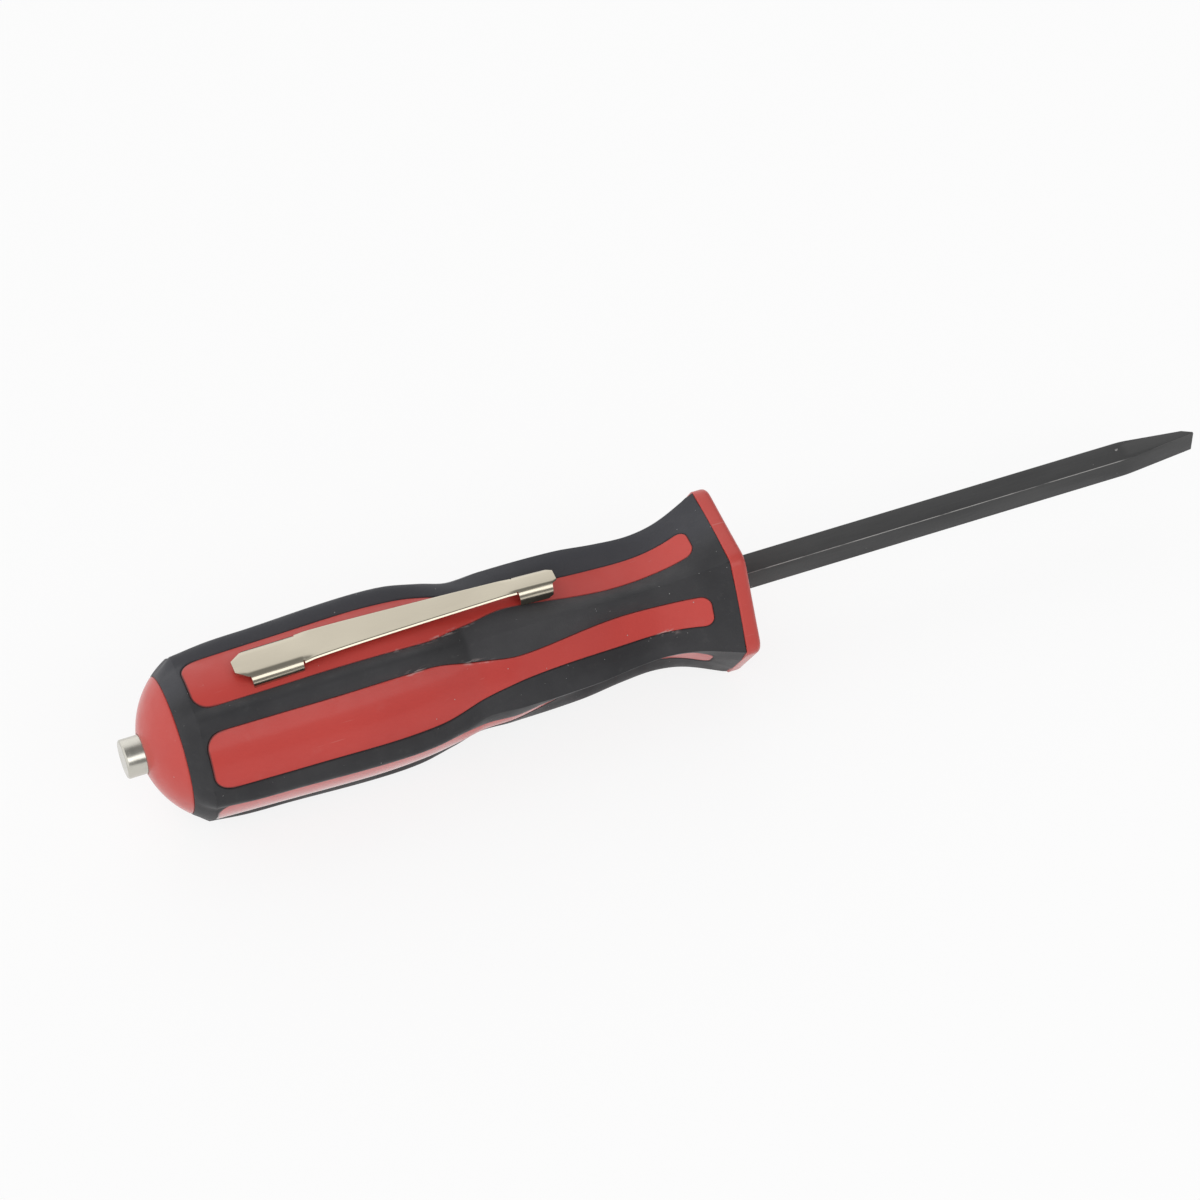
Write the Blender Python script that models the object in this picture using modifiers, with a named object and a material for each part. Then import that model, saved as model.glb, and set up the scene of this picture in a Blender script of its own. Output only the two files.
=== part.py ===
"""Pocket pry bar: a square steel bar in a two-shot moulded handle, with a pocket clip and a tail magnet.

Units are metres.  X runs along the bar towards its tip, Z is up and the clip lies on top.
Every piece hangs on the empty handle_axis.  On that axis X is zero where the grip meets the flange,
and the axis stands as high as the flange needs to lie on one of its six flats.
"""
import math
from collections import namedtuple

import bmesh
import bpy
from mathutils import Matrix, Vector

# Square bar with its chisel tip and the tang inside the handle
BAR_SIDE = 0.0040
BAR_REACH = 0.08305
BAR_EDGE_BREAK = 0.00015
CHISEL_LENGTH = 0.0130
CHISEL_EDGE = 0.0009
CHISEL_ROUND = 0.0030
TANG_LENGTH = 0.0560
TANG_CHAMFER = 0.0006
NOTCH_DEPTH = 0.0009
NOTCH_LENGTH = 0.0040
NOTCH_SETBACK = 0.0080
NOTCH_COUNT = 2
NOTCH_PITCH = 0.0140

# Six-sided flange in front of the grip; the loss is what rounding takes off a sharp corner
FLANGE_THICKNESS = 0.0026
FLANGE_APOTHEM = 0.01385
FLANGE_CORNER_LOSS = 0.0004
FLANGE_EDGE_ROUND = 0.0010

# Grip, its tail ring and the dome behind it; the ring's lip turns in over the edge of the dome
GRIP_LENGTH = 0.0873
RING_RADIUS = 0.0131
RING_RIB_RISE = 0.0009
RING_LIP = 0.0019
DOME_RISE = 0.00803
SLEEVE_WALL = 0.0015

# Stations of the skin: share of the grip from the flange back, radius at a panel's middle and
# rise of a rib above it
Station = namedtuple("Station", "share panel rise")
FLARE = Station(0.078, 0.0104, 0.0022)
NECK = Station(0.136, 0.0091, 0.0026)
NECK_REAR = Station(0.200, 0.0089, 0.0031)
THUMB_FRONT = Station(0.280, 0.0096, 0.0032)
THUMB_SWELL = Station(0.417, 0.0117, 0.00135)
CREASE = Station(0.481, 0.0119, 0.0008)
SHOULDER = Station(0.532, 0.0127, 0.0012)
BELLY_FRONT = Station(0.600, 0.0135, 0.0017)
BELLY = Station(0.690, FLANGE_APOTHEM, 0.0016)
BELLY_REAR = Station(0.850, 0.0135, 0.0014)
TAIL_TAPER = Station(0.930, 0.0133, 0.0014)

# Panels turn from flat, near the flange, to round over this stretch of the grip
FLAT_UNTIL = 0.30
ROUND_FROM = 0.56
RIB_SHARPNESS = 1.4

# Six long windows in the grip, where panels of the core show
Width = namedtuple("Width", "share half")
WINDOW_WIDTHS = (
    Width(0.00, 0.0028),
    Width(0.12, 0.0024),
    Width(0.22, 0.0025),
    Width(0.40, 0.0021),
    Width(0.485, 0.0032),
    Width(0.575, 0.0049),
    Width(0.80, 0.0050),
    Width(1.00, 0.0049),
)
WINDOW_REAR_MARGIN = 0.0003
WINDOW_FRONT_MARGIN = 0.0036
WINDOW_REAR_CORNER = 0.0028
WINDOW_FRONT_CORNER = 0.0017
PANEL_RECESS = 0.0001
PANEL_ROOT = 0.0020

# Pocket clip, a folded strip of spring steel
CLIP_LENGTH = 0.0524
CLIP_SETBACK = 0.0079
CLIP_THICKNESS = 0.0005
CLIP_STANDOFF = 0.0004
CLIP_TAIL_HALF = 0.0026
CLIP_TAIL_POINT_HALF = 0.00115
CLIP_TAIL_POINT_LENGTH = 0.0021
CLIP_FRONT_HALF = 0.0017
CLIP_FRONT_POINT_HALF = 0.0009
CLIP_FRONT_POINT_LENGTH = 0.0007
CLIP_FRONT_DIP = 0.00014
CLIP_FOLD_INSIDE = 0.0002
CLIP_FOLD_RELIEF = 0.0003
TAIL_WING_LENGTH = 0.0084
TAIL_WING_TAB = 0.0018
FRONT_WING_LENGTH = 0.0060
FRONT_WING_DEPTH = 0.0019
FRONT_WING_CHAMFER = 0.0006
FRONT_FOLD_HALF = 0.0012
FRONT_WING_CLEARANCE = 0.0004

# Tail magnet, a plated cylinder glued into the dome
MAGNET_DIAMETER = 0.0063
MAGNET_LENGTH = 0.0100
MAGNET_PROUD = 0.0028
MAGNET_EDGE_ROUND = 0.0004

# Fits
BOND_GAP = 0.0003
SLOT_CLEARANCE = 0.0003
SLOT_DEPTH_CLEARANCE = 0.0005

# Fineness of the facets; the shares say where a ring has points between a window's edge and the rib's crest
PANELS = 6
RIB_SHARES = (0.0, 0.35, 0.7)
ROUND_SIDES = 48
SKIN_STEPS = 27
BODY_STEPS = 25
WINDOW_STEPS = 16
CORNER_STEPS = 4
ACROSS_STEPS = 6
DOME_STEPS = 5
STRIP_STEPS = 10
FOLD_STEPS = 3
HEIGHT_ROUNDS = 12
CUT_MARGIN = 0.0020
WELD_DISTANCE = 0.000001
SHARP_ANGLE = math.radians(30)

PANEL_ANGLE = math.tau / PANELS
HALF_PANEL = PANEL_ANGLE / 2
FLANGE_CORNER_RISE = FLANGE_APOTHEM * (1 / math.cos(HALF_PANEL) - 1) - FLANGE_CORNER_LOSS
TIP_X = FLANGE_THICKNESS + BAR_REACH
DOME_RADIUS = (RING_RADIUS ** 2 + DOME_RISE ** 2) / (2 * DOME_RISE)
DOME_APEX = -GRIP_LENGTH - DOME_RISE
DOME_CENTRE = DOME_APEX + DOME_RADIUS
DOME_SEAM = DOME_CENTRE - math.sqrt(DOME_RADIUS ** 2 - (RING_RADIUS - RING_LIP) ** 2)
DOME_CAP_RADIUS = MAGNET_DIAMETER / 4
MAGNET_END = DOME_APEX - MAGNET_PROUD
AXIS_ORIGIN = Vector((-(TIP_X + MAGNET_END) / 2, 0, FLANGE_APOTHEM))

SKIN = (
    Station(0.0, FLANGE_APOTHEM, FLANGE_CORNER_RISE),
    FLARE,
    NECK,
    NECK_REAR,
    THUMB_FRONT,
    THUMB_SWELL,
    CREASE,
    SHOULDER,
    BELLY_FRONT,
    BELLY,
    BELLY_REAR,
    TAIL_TAPER,
    Station(1.0, RING_RADIUS, RING_RIB_RISE),
)

CLIP_TAIL = -GRIP_LENGTH + CLIP_SETBACK
CLIP_FRONT = CLIP_TAIL + CLIP_LENGTH
CLIP_FOLD_RADIUS = CLIP_THICKNESS + CLIP_FOLD_INSIDE
TAIL_WING_START = CLIP_TAIL + CLIP_TAIL_POINT_LENGTH + CLIP_FOLD_RELIEF
TAIL_WING_END = TAIL_WING_START + TAIL_WING_LENGTH
TAIL_WING_MIDDLE = (TAIL_WING_START + TAIL_WING_END) / 2
TAIL_WING_HALF = CLIP_TAIL_HALF + CLIP_FOLD_RADIUS
FRONT_WING_END = CLIP_FRONT - CLIP_FRONT_POINT_LENGTH
FRONT_WING_START = FRONT_WING_END - FRONT_WING_LENGTH


def smooth_through(points, at):
    """Value at one place of a smooth curve through (place, value) points in rising order of place."""
    at = min(max(at, points[0][0]), points[-1][0])
    slopes = []
    for i in range(len(points)):
        before = points[max(i - 1, 0)]
        after = points[min(i + 1, len(points) - 1)]
        slopes.append((after[1] - before[1]) / (after[0] - before[0]))
    for i in range(len(points) - 1):
        left, right = points[i], points[i + 1]
        if at <= right[0]:
            break
    span = right[0] - left[0]
    t = (at - left[0]) / span
    rise = right[1] - left[1]
    bend_left = slopes[i] * span - rise
    bend_right = rise - slopes[i + 1] * span
    return left[1] + rise * t + t * (1 - t) * (bend_left * (1 - t) + bend_right * t)


def share_of(x):
    """How far along the grip x lies: 0 at the flange and 1 at the edge of the tail ring."""
    return min(max(-x / GRIP_LENGTH, 0.0), 1.0)


def panel_radius(x):
    return smooth_through([(s.share, s.panel) for s in SKIN], share_of(x))


def rib_radius(x):
    return panel_radius(x) + smooth_through([(s.share, s.rise) for s in SKIN], share_of(x))


def window_half(x):
    return smooth_through(WINDOW_WIDTHS, share_of(x))


def panel_flatness(x):
    """1 where a panel is flat across, 0 where it is part of a circle."""
    t = (ROUND_FROM - share_of(x)) / (ROUND_FROM - FLAT_UNTIL)
    t = min(max(t, 0.0), 1.0)
    return t * t * (3 - 2 * t)


def skin_radius(x, angle):
    """Radius of the grip's outer skin; a panel's middle is at a half-panel angle, a rib at angle 0."""
    bend = abs((angle % PANEL_ANGLE) - HALF_PANEL)
    panel = panel_radius(x)
    flat = panel_flatness(x)
    floor = panel * (1 + flat * (1 / math.cos(bend) - 1))
    floor_at_rib = panel * (1 + flat * (1 / math.cos(HALF_PANEL) - 1))
    edge = math.atan2(window_half(x), panel)
    rise = max(0.0, (bend - edge) / (HALF_PANEL - edge))
    return floor + (rib_radius(x) - floor_at_rib) * math.sin(rise * math.pi / 2) ** RIB_SHARPNESS


def outer_radius(x, angle):
    """The skin on the grip; behind the tail ring's edge its ribs run out into the dome at the seam."""
    if x >= -GRIP_LENGTH:
        return skin_radius(x, angle)
    dome = math.sqrt(max(DOME_RADIUS ** 2 - (x - DOME_CENTRE) ** 2, 0.0))
    left = max(0.0, (x - DOME_SEAM) / (-GRIP_LENGTH - DOME_SEAM))
    return dome + (skin_radius(-GRIP_LENGTH, angle) - RING_RADIUS) * left


def spread(start, end, steps):
    """Evenly spaced values from start to end, both included."""
    return [start + (end - start) * i / steps for i in range(steps + 1)]


def collection(name):
    made = bpy.data.collections.new(name)
    bpy.context.scene.collection.children.link(made)
    return made


def clear_scene():
    for old in list(bpy.data.objects):
        bpy.data.objects.remove(old, do_unlink=True)


def material(name, colour, roughness, metallic=0.0):
    made = bpy.data.materials.new(name)
    made.use_nodes = True
    shader = made.node_tree.nodes["Principled BSDF"]
    shader.inputs["Base Color"].default_value = (*colour, 1.0)
    shader.inputs["Roughness"].default_value = roughness
    shader.inputs["Metallic"].default_value = metallic
    return made


def finish_mesh(bm, name):
    """Mesh with its faces pointing out, smooth apart from its real edges."""
    bmesh.ops.recalc_face_normals(bm, faces=bm.faces)
    mesh = bpy.data.meshes.new(name)
    bm.to_mesh(mesh)
    bm.free()
    mesh.shade_smooth()
    mesh.set_sharp_from_angle(angle=SHARP_ANGLE)
    return mesh


def place(name, mesh, parent, home):
    made = bpy.data.objects.new(name, mesh)
    made.parent = parent
    home.objects.link(made)
    return made


def lofted(name, rings):
    """Closed mesh through rings of equally many points, capped at both ends."""
    bm = bmesh.new()
    loops = [[bm.verts.new(point) for point in ring] for ring in rings]
    count = len(loops[0])
    for near, far in zip(loops, loops[1:]):
        for i in range(count):
            j = (i + 1) % count
            bm.faces.new((near[i], near[j], far[j], far[i]))
    bm.faces.new(loops[0])
    bm.faces.new(loops[-1])
    return finish_mesh(bm, name)


def panel_bends(x):
    """Angles from a panel's middle to a ring's points: even where round, gathered on the ribs where flat."""
    edge = math.atan2(window_half(x), panel_radius(x))
    flat = panel_flatness(x)
    rib_side = [edge + (HALF_PANEL - edge) * share for share in RIB_SHARES]
    even = [HALF_PANEL * (i + 1) / (len(RIB_SHARES) + 1) for i in range(len(RIB_SHARES))]
    side = [a + (b - a) * flat for a, b in zip(even, rib_side)]
    return [-bend for bend in reversed(side)] + [0.0] + side + [HALF_PANEL]


def ring_at(x, radius_at):
    """One ring of the handle in the YZ plane; radius_at gives the radius at each angle, 0 lying at -Y."""
    points = []
    for i in range(PANELS):
        for bend in panel_bends(x):
            angle = PANEL_ANGLE * i + HALF_PANEL + bend
            radius = radius_at(angle)
            points.append((x, -radius * math.cos(angle), radius * math.sin(angle)))
    return points


def skin_ring(x, inset=0.0):
    return ring_at(x, lambda angle: outer_radius(x, angle) - inset)


def extruded(name, outline, half_depth):
    """Mesh of a flat XY outline, as deep below its plane as above it."""
    curve = bpy.data.curves.new(name, "CURVE")
    curve.dimensions = "2D"
    curve.fill_mode = "BOTH"
    curve.extrude = half_depth
    spline = curve.splines.new("POLY")
    spline.points.add(len(outline) - 1)
    for point, (x, y) in zip(spline.points, outline):
        point.co = (x, y, 0.0, 1.0)
    spline.use_cyclic_u = True
    source = bpy.data.objects.new(name, curve)
    bpy.context.scene.collection.objects.link(source)
    evaluated = source.evaluated_get(bpy.context.evaluated_depsgraph_get())
    bm = bmesh.new()
    bm.from_mesh(bpy.data.meshes.new_from_object(evaluated))
    bmesh.ops.remove_doubles(bm, verts=bm.verts, dist=WELD_DISTANCE)
    bpy.data.objects.remove(source, do_unlink=True)
    return finish_mesh(bm, name)


def boolean(target, tool, operation):
    cut = target.modifiers.new(tool.name, "BOOLEAN")
    cut.operation = operation
    cut.solver = "EXACT"
    cut.object = tool


def edge_round(made, width, segments):
    rim = made.modifiers.new("edge_round", "BEVEL")
    rim.width = width
    rim.segments = segments
    rim.limit_method = "ANGLE"


def as_cutter(made):
    made.hide_render = True
    made.display_type = "WIRE"
    return made


def bar_half_outline(grow):
    """One long side of the bar in plan, tang to tip; grow widens it into the socket that holds it."""
    half = BAR_SIDE / 2 + grow
    tail = -TANG_LENGTH - grow
    side = [(tail, half - TANG_CHAMFER), (tail + TANG_CHAMFER, half)]
    for i in range(NOTCH_COUNT):
        start = -TANG_LENGTH + NOTCH_SETBACK + i * NOTCH_PITCH + grow
        end = start + NOTCH_LENGTH - 2 * grow
        side += [(start, half), (start, half - NOTCH_DEPTH), (end, half - NOTCH_DEPTH), (end, half)]
    return side


def bar_outline():
    """Plan of the bar: notched tang, straight shank and a double bevel with a soft start."""
    start = TIP_X - CHISEL_LENGTH
    slope = (BAR_SIDE - CHISEL_EDGE) / 2 / CHISEL_LENGTH
    side = bar_half_outline(0.0)
    for t in spread(-1.0, 1.0, CORNER_STEPS):
        drop = slope * CHISEL_ROUND * (t + 1) ** 2 / 4
        side.append((start + CHISEL_ROUND * t, BAR_SIDE / 2 - drop))
    side.append((TIP_X, CHISEL_EDGE / 2))
    return side + [(x, -y) for x, y in reversed(side)]


def socket_outline():
    """Plan of the hole that the tang fills, running out through the front of the flange."""
    side = bar_half_outline(BOND_GAP)
    side.append((FLANGE_THICKNESS + CUT_MARGIN, BAR_SIDE / 2 + BOND_GAP))
    return side + [(x, -y) for x, y in reversed(side)]


def window_places():
    """Places along a window, tail to flange: X, width lost to the rounded corners, lean of the end there."""
    rear = -GRIP_LENGTH + WINDOW_REAR_MARGIN
    front = -WINDOW_FRONT_MARGIN
    places = []
    for t in spread(0.0, math.pi / 2, CORNER_STEPS):
        x = rear + WINDOW_REAR_CORNER * (1 - math.cos(t))
        places.append((x, WINDOW_REAR_CORNER * (1 - math.sin(t)), -math.cos(t)))
    straight = spread(rear + WINDOW_REAR_CORNER, front - WINDOW_FRONT_CORNER, WINDOW_STEPS)
    places += [(x, 0.0, 0.0) for x in straight[1:-1]]
    for t in spread(math.pi / 2, 0.0, CORNER_STEPS):
        x = front - WINDOW_FRONT_CORNER * (1 - math.cos(t))
        places.append((x, WINDOW_FRONT_CORNER * (1 - math.sin(t)), math.cos(t)))
    return places


def skin_height(x, offset):
    """Height of the skin over the axis, the way a panel faces, at a sideways offset from its middle."""
    height = panel_radius(x)
    for _ in range(HEIGHT_ROUNDS):
        radius = outer_radius(x, HALF_PANEL + math.atan2(offset, height))
        height = math.sqrt(radius ** 2 - offset ** 2)
    return height


def window_block(name, grow, above):
    """Block along one panel: its sides follow the window and its top the skin, raised by above."""
    rings = []
    for x, lost, lean in window_places():
        half = window_half(x) - lost + grow
        foot = panel_radius(x) - SLEEVE_WALL - PANEL_ROOT
        place_x = x + grow * lean
        ring = []
        for offset in spread(-half, half, ACROSS_STEPS):
            ring.append((place_x, offset, skin_height(x, offset) + above))
        ring += [(place_x, half, foot), (place_x, -half, foot)]
        rings.append(ring)
    return lofted(name, rings)


def around(name, mesh, parent, home):
    """Six copies of a panel block, one on each panel."""
    copies = []
    for i in range(PANELS):
        turned = place(f"{name}_{i + 1}", mesh, parent, home)
        turned.rotation_euler = (PANEL_ANGLE * i, 0.0, 0.0)
        copies.append(as_cutter(turned))
    return copies


def body_ring(x, gap):
    return skin_ring(x, SLEEVE_WALL + gap)


def core_rings():
    """Dome, the body under the grip and the flange, as one run of rings from tail to front."""
    rings = []
    for turn in spread(0.0, math.pi / 2, DOME_STEPS):
        radius = DOME_CAP_RADIUS + (RING_RADIUS - RING_LIP - DOME_CAP_RADIUS) * math.sin(turn)
        rings.append(skin_ring(DOME_CENTRE - math.sqrt(DOME_RADIUS ** 2 - radius ** 2)))
    rings.append(body_ring(DOME_SEAM, BOND_GAP))
    for x in spread(-GRIP_LENGTH, 0.0, BODY_STEPS):
        rings.append(body_ring(x, BOND_GAP))
    rings.append(ring_at(BOND_GAP, lambda angle: skin_radius(0.0, angle) - SLEEVE_WALL - BOND_GAP))
    rings.append(ring_at(BOND_GAP, lambda angle: skin_radius(0.0, angle)))
    for turn in spread(0.0, math.pi / 2, CORNER_STEPS):
        inset = FLANGE_EDGE_ROUND * (1 - math.cos(turn))
        x = FLANGE_THICKNESS - FLANGE_EDGE_ROUND * (1 - math.sin(turn))
        rings.append(ring_at(x, lambda angle: skin_radius(0.0, angle) - inset))
    return rings


def sleeve_rings():
    """Outside of the grip, from the dome's seam over the ring's edge to the flange."""
    rings = [skin_ring(x) for x in spread(DOME_SEAM + BOND_GAP, -GRIP_LENGTH, 2)]
    rings += [skin_ring(x) for x in spread(-GRIP_LENGTH, 0.0, SKIN_STEPS)[1:]]
    return rings


def sleeve_bore_rings():
    """Inside of the grip, run out past both of its ends."""
    rings = [ring_at(DOME_SEAM - CUT_MARGIN, lambda angle: outer_radius(DOME_SEAM, angle) - SLEEVE_WALL)]
    rings.append(body_ring(DOME_SEAM, 0.0))
    rings += [body_ring(x, 0.0) for x in spread(-GRIP_LENGTH, 0.0, BODY_STEPS)]
    rings.append(ring_at(CUT_MARGIN, lambda angle: skin_radius(0.0, angle) - SLEEVE_WALL))
    return rings


def clip_top(x):
    """Height of the clip's upper face over the axis: level at the tail, over the belly, then down."""
    raised = CLIP_STANDOFF + CLIP_THICKNESS
    belly = -GRIP_LENGTH * BELLY.share
    tail = panel_radius(TAIL_WING_MIDDLE) + raised
    front = panel_radius(FRONT_WING_START) + FRONT_WING_CLEARANCE + FRONT_WING_DEPTH
    places = [
        (CLIP_TAIL, tail),
        (TAIL_WING_MIDDLE, tail),
        (belly, panel_radius(belly) + raised),
        (FRONT_WING_START, front),
        (CLIP_FRONT, front - CLIP_FRONT_DIP),
    ]
    return smooth_through(places, x)


def clip_half(x):
    """Half the width of the strip where it has no wings."""
    ends = [(CLIP_TAIL, CLIP_TAIL_HALF), (FRONT_WING_START, CLIP_FRONT_HALF), (CLIP_FRONT, CLIP_FRONT_HALF)]
    return smooth_through(ends, x)


def tail_wing_foot():
    """Height of the lower edge of the tail wings, below the panel by the length of the hidden tabs."""
    return skin_height(TAIL_WING_MIDDLE, TAIL_WING_HALF) - TAIL_WING_TAB


def front_wing_foot(x):
    """Lower edge of a front wing, with its foremost corner cut off."""
    cut = max(0.0, x - (FRONT_WING_END - FRONT_WING_CHAMFER))
    return clip_top(x) - FRONT_WING_DEPTH + cut


def clip_wing(bm, row, side, foot_at):
    """Fold the strip's edge over and down on one side; row holds the edge's vertices in order along X."""
    previous = row
    columns = []
    for turn in spread(0.0, math.pi / 2, FOLD_STEPS)[1:]:
        reach = CLIP_FOLD_RADIUS * math.sin(turn)
        drop = CLIP_FOLD_RADIUS * (1 - math.cos(turn))
        columns.append([bm.verts.new(v.co + Vector((0, side * reach, -drop))) for v in row])
    columns.append([bm.verts.new((v.co.x, v.co.y, foot_at(v.co.x))) for v in columns[-1]])
    for column in columns:
        for i in range(len(row) - 1):
            bm.faces.new((previous[i], previous[i + 1], column[i + 1], column[i]))
        previous = column


def clip_mesh():
    """Upper face of the clip as an open sheet: a pointed strip with folded wings at both ends."""
    tail_point = [(CLIP_TAIL, CLIP_TAIL_POINT_HALF), (CLIP_TAIL + CLIP_TAIL_POINT_LENGTH, CLIP_TAIL_HALF)]
    tail_wing = [(x, CLIP_TAIL_HALF) for x in spread(TAIL_WING_START, TAIL_WING_END, 2)]
    strip = [(x, clip_half(x)) for x in spread(TAIL_WING_END, FRONT_WING_START, STRIP_STEPS)[1:-1]]
    strip.append((FRONT_WING_START - CLIP_FOLD_RELIEF, CLIP_FRONT_HALF))
    wing_places = [FRONT_WING_START, FRONT_WING_END - FRONT_WING_CHAMFER, FRONT_WING_END]
    front_wing = [(x, FRONT_FOLD_HALF) for x in wing_places]
    front_point = [(CLIP_FRONT, CLIP_FRONT_POINT_HALF)]
    bm = bmesh.new()
    rows = []
    for x, half in tail_point + tail_wing + strip + front_wing + front_point:
        rows.append([bm.verts.new((x, y, clip_top(x))) for y in (-half, 0.0, half)])
    for near, far in zip(rows, rows[1:]):
        for i in range(2):
            bm.faces.new((near[i], far[i], far[i + 1], near[i + 1]))
    foot = tail_wing_foot()
    tail_rows = rows[len(tail_point):len(tail_point) + len(tail_wing)]
    front_rows = rows[-len(front_point) - len(front_wing):-len(front_point)]
    for column, side in ((0, -1), (2, 1)):
        clip_wing(bm, [row[column] for row in tail_rows], side, lambda x: foot)
        clip_wing(bm, [row[column] for row in front_rows], side, front_wing_foot)
    mesh = finish_mesh(bm, "pocket_clip")
    if sum(face.normal.z for face in mesh.polygons) < 0:
        mesh.flip_normals()
    return mesh


def clip_hinge():
    """Where the clip bends: the rear of the tail wings, at the face of the panel they are pressed into."""
    return Vector((TAIL_WING_START, 0.0, skin_height(TAIL_WING_START, TAIL_WING_HALF)))


def cylinder_along_x(name, radius, start, end):
    bm = bmesh.new()
    turned = Matrix.Translation(((start + end) / 2, 0, 0)) @ Matrix.Rotation(math.pi / 2, 4, "Y")
    bmesh.ops.create_cone(bm, cap_ends=True, segments=ROUND_SIDES, radius1=radius, radius2=radius,
                          depth=end - start, matrix=turned)
    return finish_mesh(bm, name)


def pry_bar(axis, home):
    made = place("pry_bar", extruded("pry_bar", bar_outline(), BAR_SIDE / 2), axis, home)
    edge_round(made, BAR_EDGE_BREAK, 1)
    made.data.materials.append(material("black_oxide_steel", (0.030, 0.030, 0.032), 0.42, 0.6))


def magnet_bore(axis, tools):
    start = MAGNET_END - CUT_MARGIN
    end = MAGNET_END + MAGNET_LENGTH + BOND_GAP
    mesh = cylinder_along_x("magnet_bore", MAGNET_DIAMETER / 2 + BOND_GAP, start, end)
    return as_cutter(place("magnet_bore", mesh, axis, tools))


def wing_slot(side, axis, tools):
    """Slot in the top panel for one tail wing's tab."""
    floor = tail_wing_foot() - SLOT_DEPTH_CLEARANCE
    roof = panel_radius(TAIL_WING_END) + CUT_MARGIN
    outer = TAIL_WING_HALF + SLOT_CLEARANCE
    inner = TAIL_WING_HALF - CLIP_THICKNESS - SLOT_CLEARANCE
    length = TAIL_WING_LENGTH + 2 * SLOT_CLEARANCE
    bm = bmesh.new()
    bmesh.ops.create_cube(bm, size=1.0)
    bmesh.ops.scale(bm, verts=bm.verts, vec=(length, outer - inner, roof - floor))
    middle = (TAIL_WING_MIDDLE, side * (outer + inner) / 2, (floor + roof) / 2)
    bmesh.ops.translate(bm, verts=bm.verts, vec=middle)
    name = "wing_slot_left" if side > 0 else "wing_slot_right"
    return as_cutter(place(name, finish_mesh(bm, name), axis, tools))


def handle_core(axis, home, tools):
    """Hard red plastic: dome, body, six raised panels and flange, with sockets for what it holds."""
    core = place("handle_core", lofted("handle_core", core_rings()), axis, home)
    panel = window_block("core_panel", -BOND_GAP / 2, -PANEL_RECESS)
    for raised in around("core_panel", panel, axis, tools):
        boolean(core, raised, "UNION")
    socket = extruded("tang_socket", socket_outline(), BAR_SIDE / 2 + BOND_GAP)
    boolean(core, as_cutter(place("tang_socket", socket, axis, tools)), "DIFFERENCE")
    boolean(core, magnet_bore(axis, tools), "DIFFERENCE")
    for side in (-1, 1):
        boolean(core, wing_slot(side, axis, tools), "DIFFERENCE")
    core.data.materials.append(material("red_plastic", (0.52, 0.065, 0.055), 0.42))


def grip_sleeve(axis, home, tools):
    """Black rubber moulded round the core: tail ring, six ribs and the collar behind the flange."""
    sleeve = place("grip_sleeve", lofted("grip_sleeve", sleeve_rings()), axis, home)
    bore = as_cutter(place("sleeve_bore", lofted("sleeve_bore", sleeve_bore_rings()), axis, tools))
    boolean(sleeve, bore, "DIFFERENCE")
    window = window_block("sleeve_window", BOND_GAP / 2, CUT_MARGIN)
    for opening in around("sleeve_window", window, axis, tools):
        boolean(sleeve, opening, "DIFFERENCE")
    sleeve.data.materials.append(material("black_rubber", (0.040, 0.040, 0.043), 0.65))


def pocket_clip(axis, home):
    """Spring clip; its origin lies on the line that it bends about."""
    hinge = clip_hinge()
    mesh = clip_mesh()
    mesh.transform(Matrix.Translation(-hinge))
    clip = place("pocket_clip", mesh, axis, home)
    clip.location = hinge
    sheet = clip.modifiers.new("sheet_thickness", "SOLIDIFY")
    sheet.thickness = CLIP_THICKNESS
    sheet.offset = -1.0
    sheet.use_even_offset = True
    clip.data.materials.append(material("nickel_plate", (0.58, 0.55, 0.47), 0.28, 1.0))


def tail_magnet(axis, home):
    mesh = cylinder_along_x("tail_magnet", MAGNET_DIAMETER / 2, MAGNET_END, MAGNET_END + MAGNET_LENGTH)
    magnet = place("tail_magnet", mesh, axis, home)
    edge_round(magnet, MAGNET_EDGE_ROUND, 2)
    magnet.data.materials.append(material("bright_nickel", (0.72, 0.71, 0.68), 0.16, 1.0))


def main():
    clear_scene()
    parts = collection("pocket_pry_bar")
    tools = collection("cutters")
    axis = bpy.data.objects.new("handle_axis", None)
    axis.location = AXIS_ORIGIN
    parts.objects.link(axis)
    pry_bar(axis, parts)
    handle_core(axis, parts, tools)
    grip_sleeve(axis, parts, tools)
    pocket_clip(axis, parts)
    tail_magnet(axis, parts)


main()
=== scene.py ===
"""Looks of the pocket pry bar: fine meshes, finishes, floor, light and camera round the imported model.

Units are metres.  The tool lies along X with its chisel tip at +X, and its pocket clip is on top.
"""
from math import asin, atan, cos, pi, radians, sin, sqrt, tan, tau

import bpy
import bmesh
import numpy as np
from mathutils import Matrix, Vector


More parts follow.
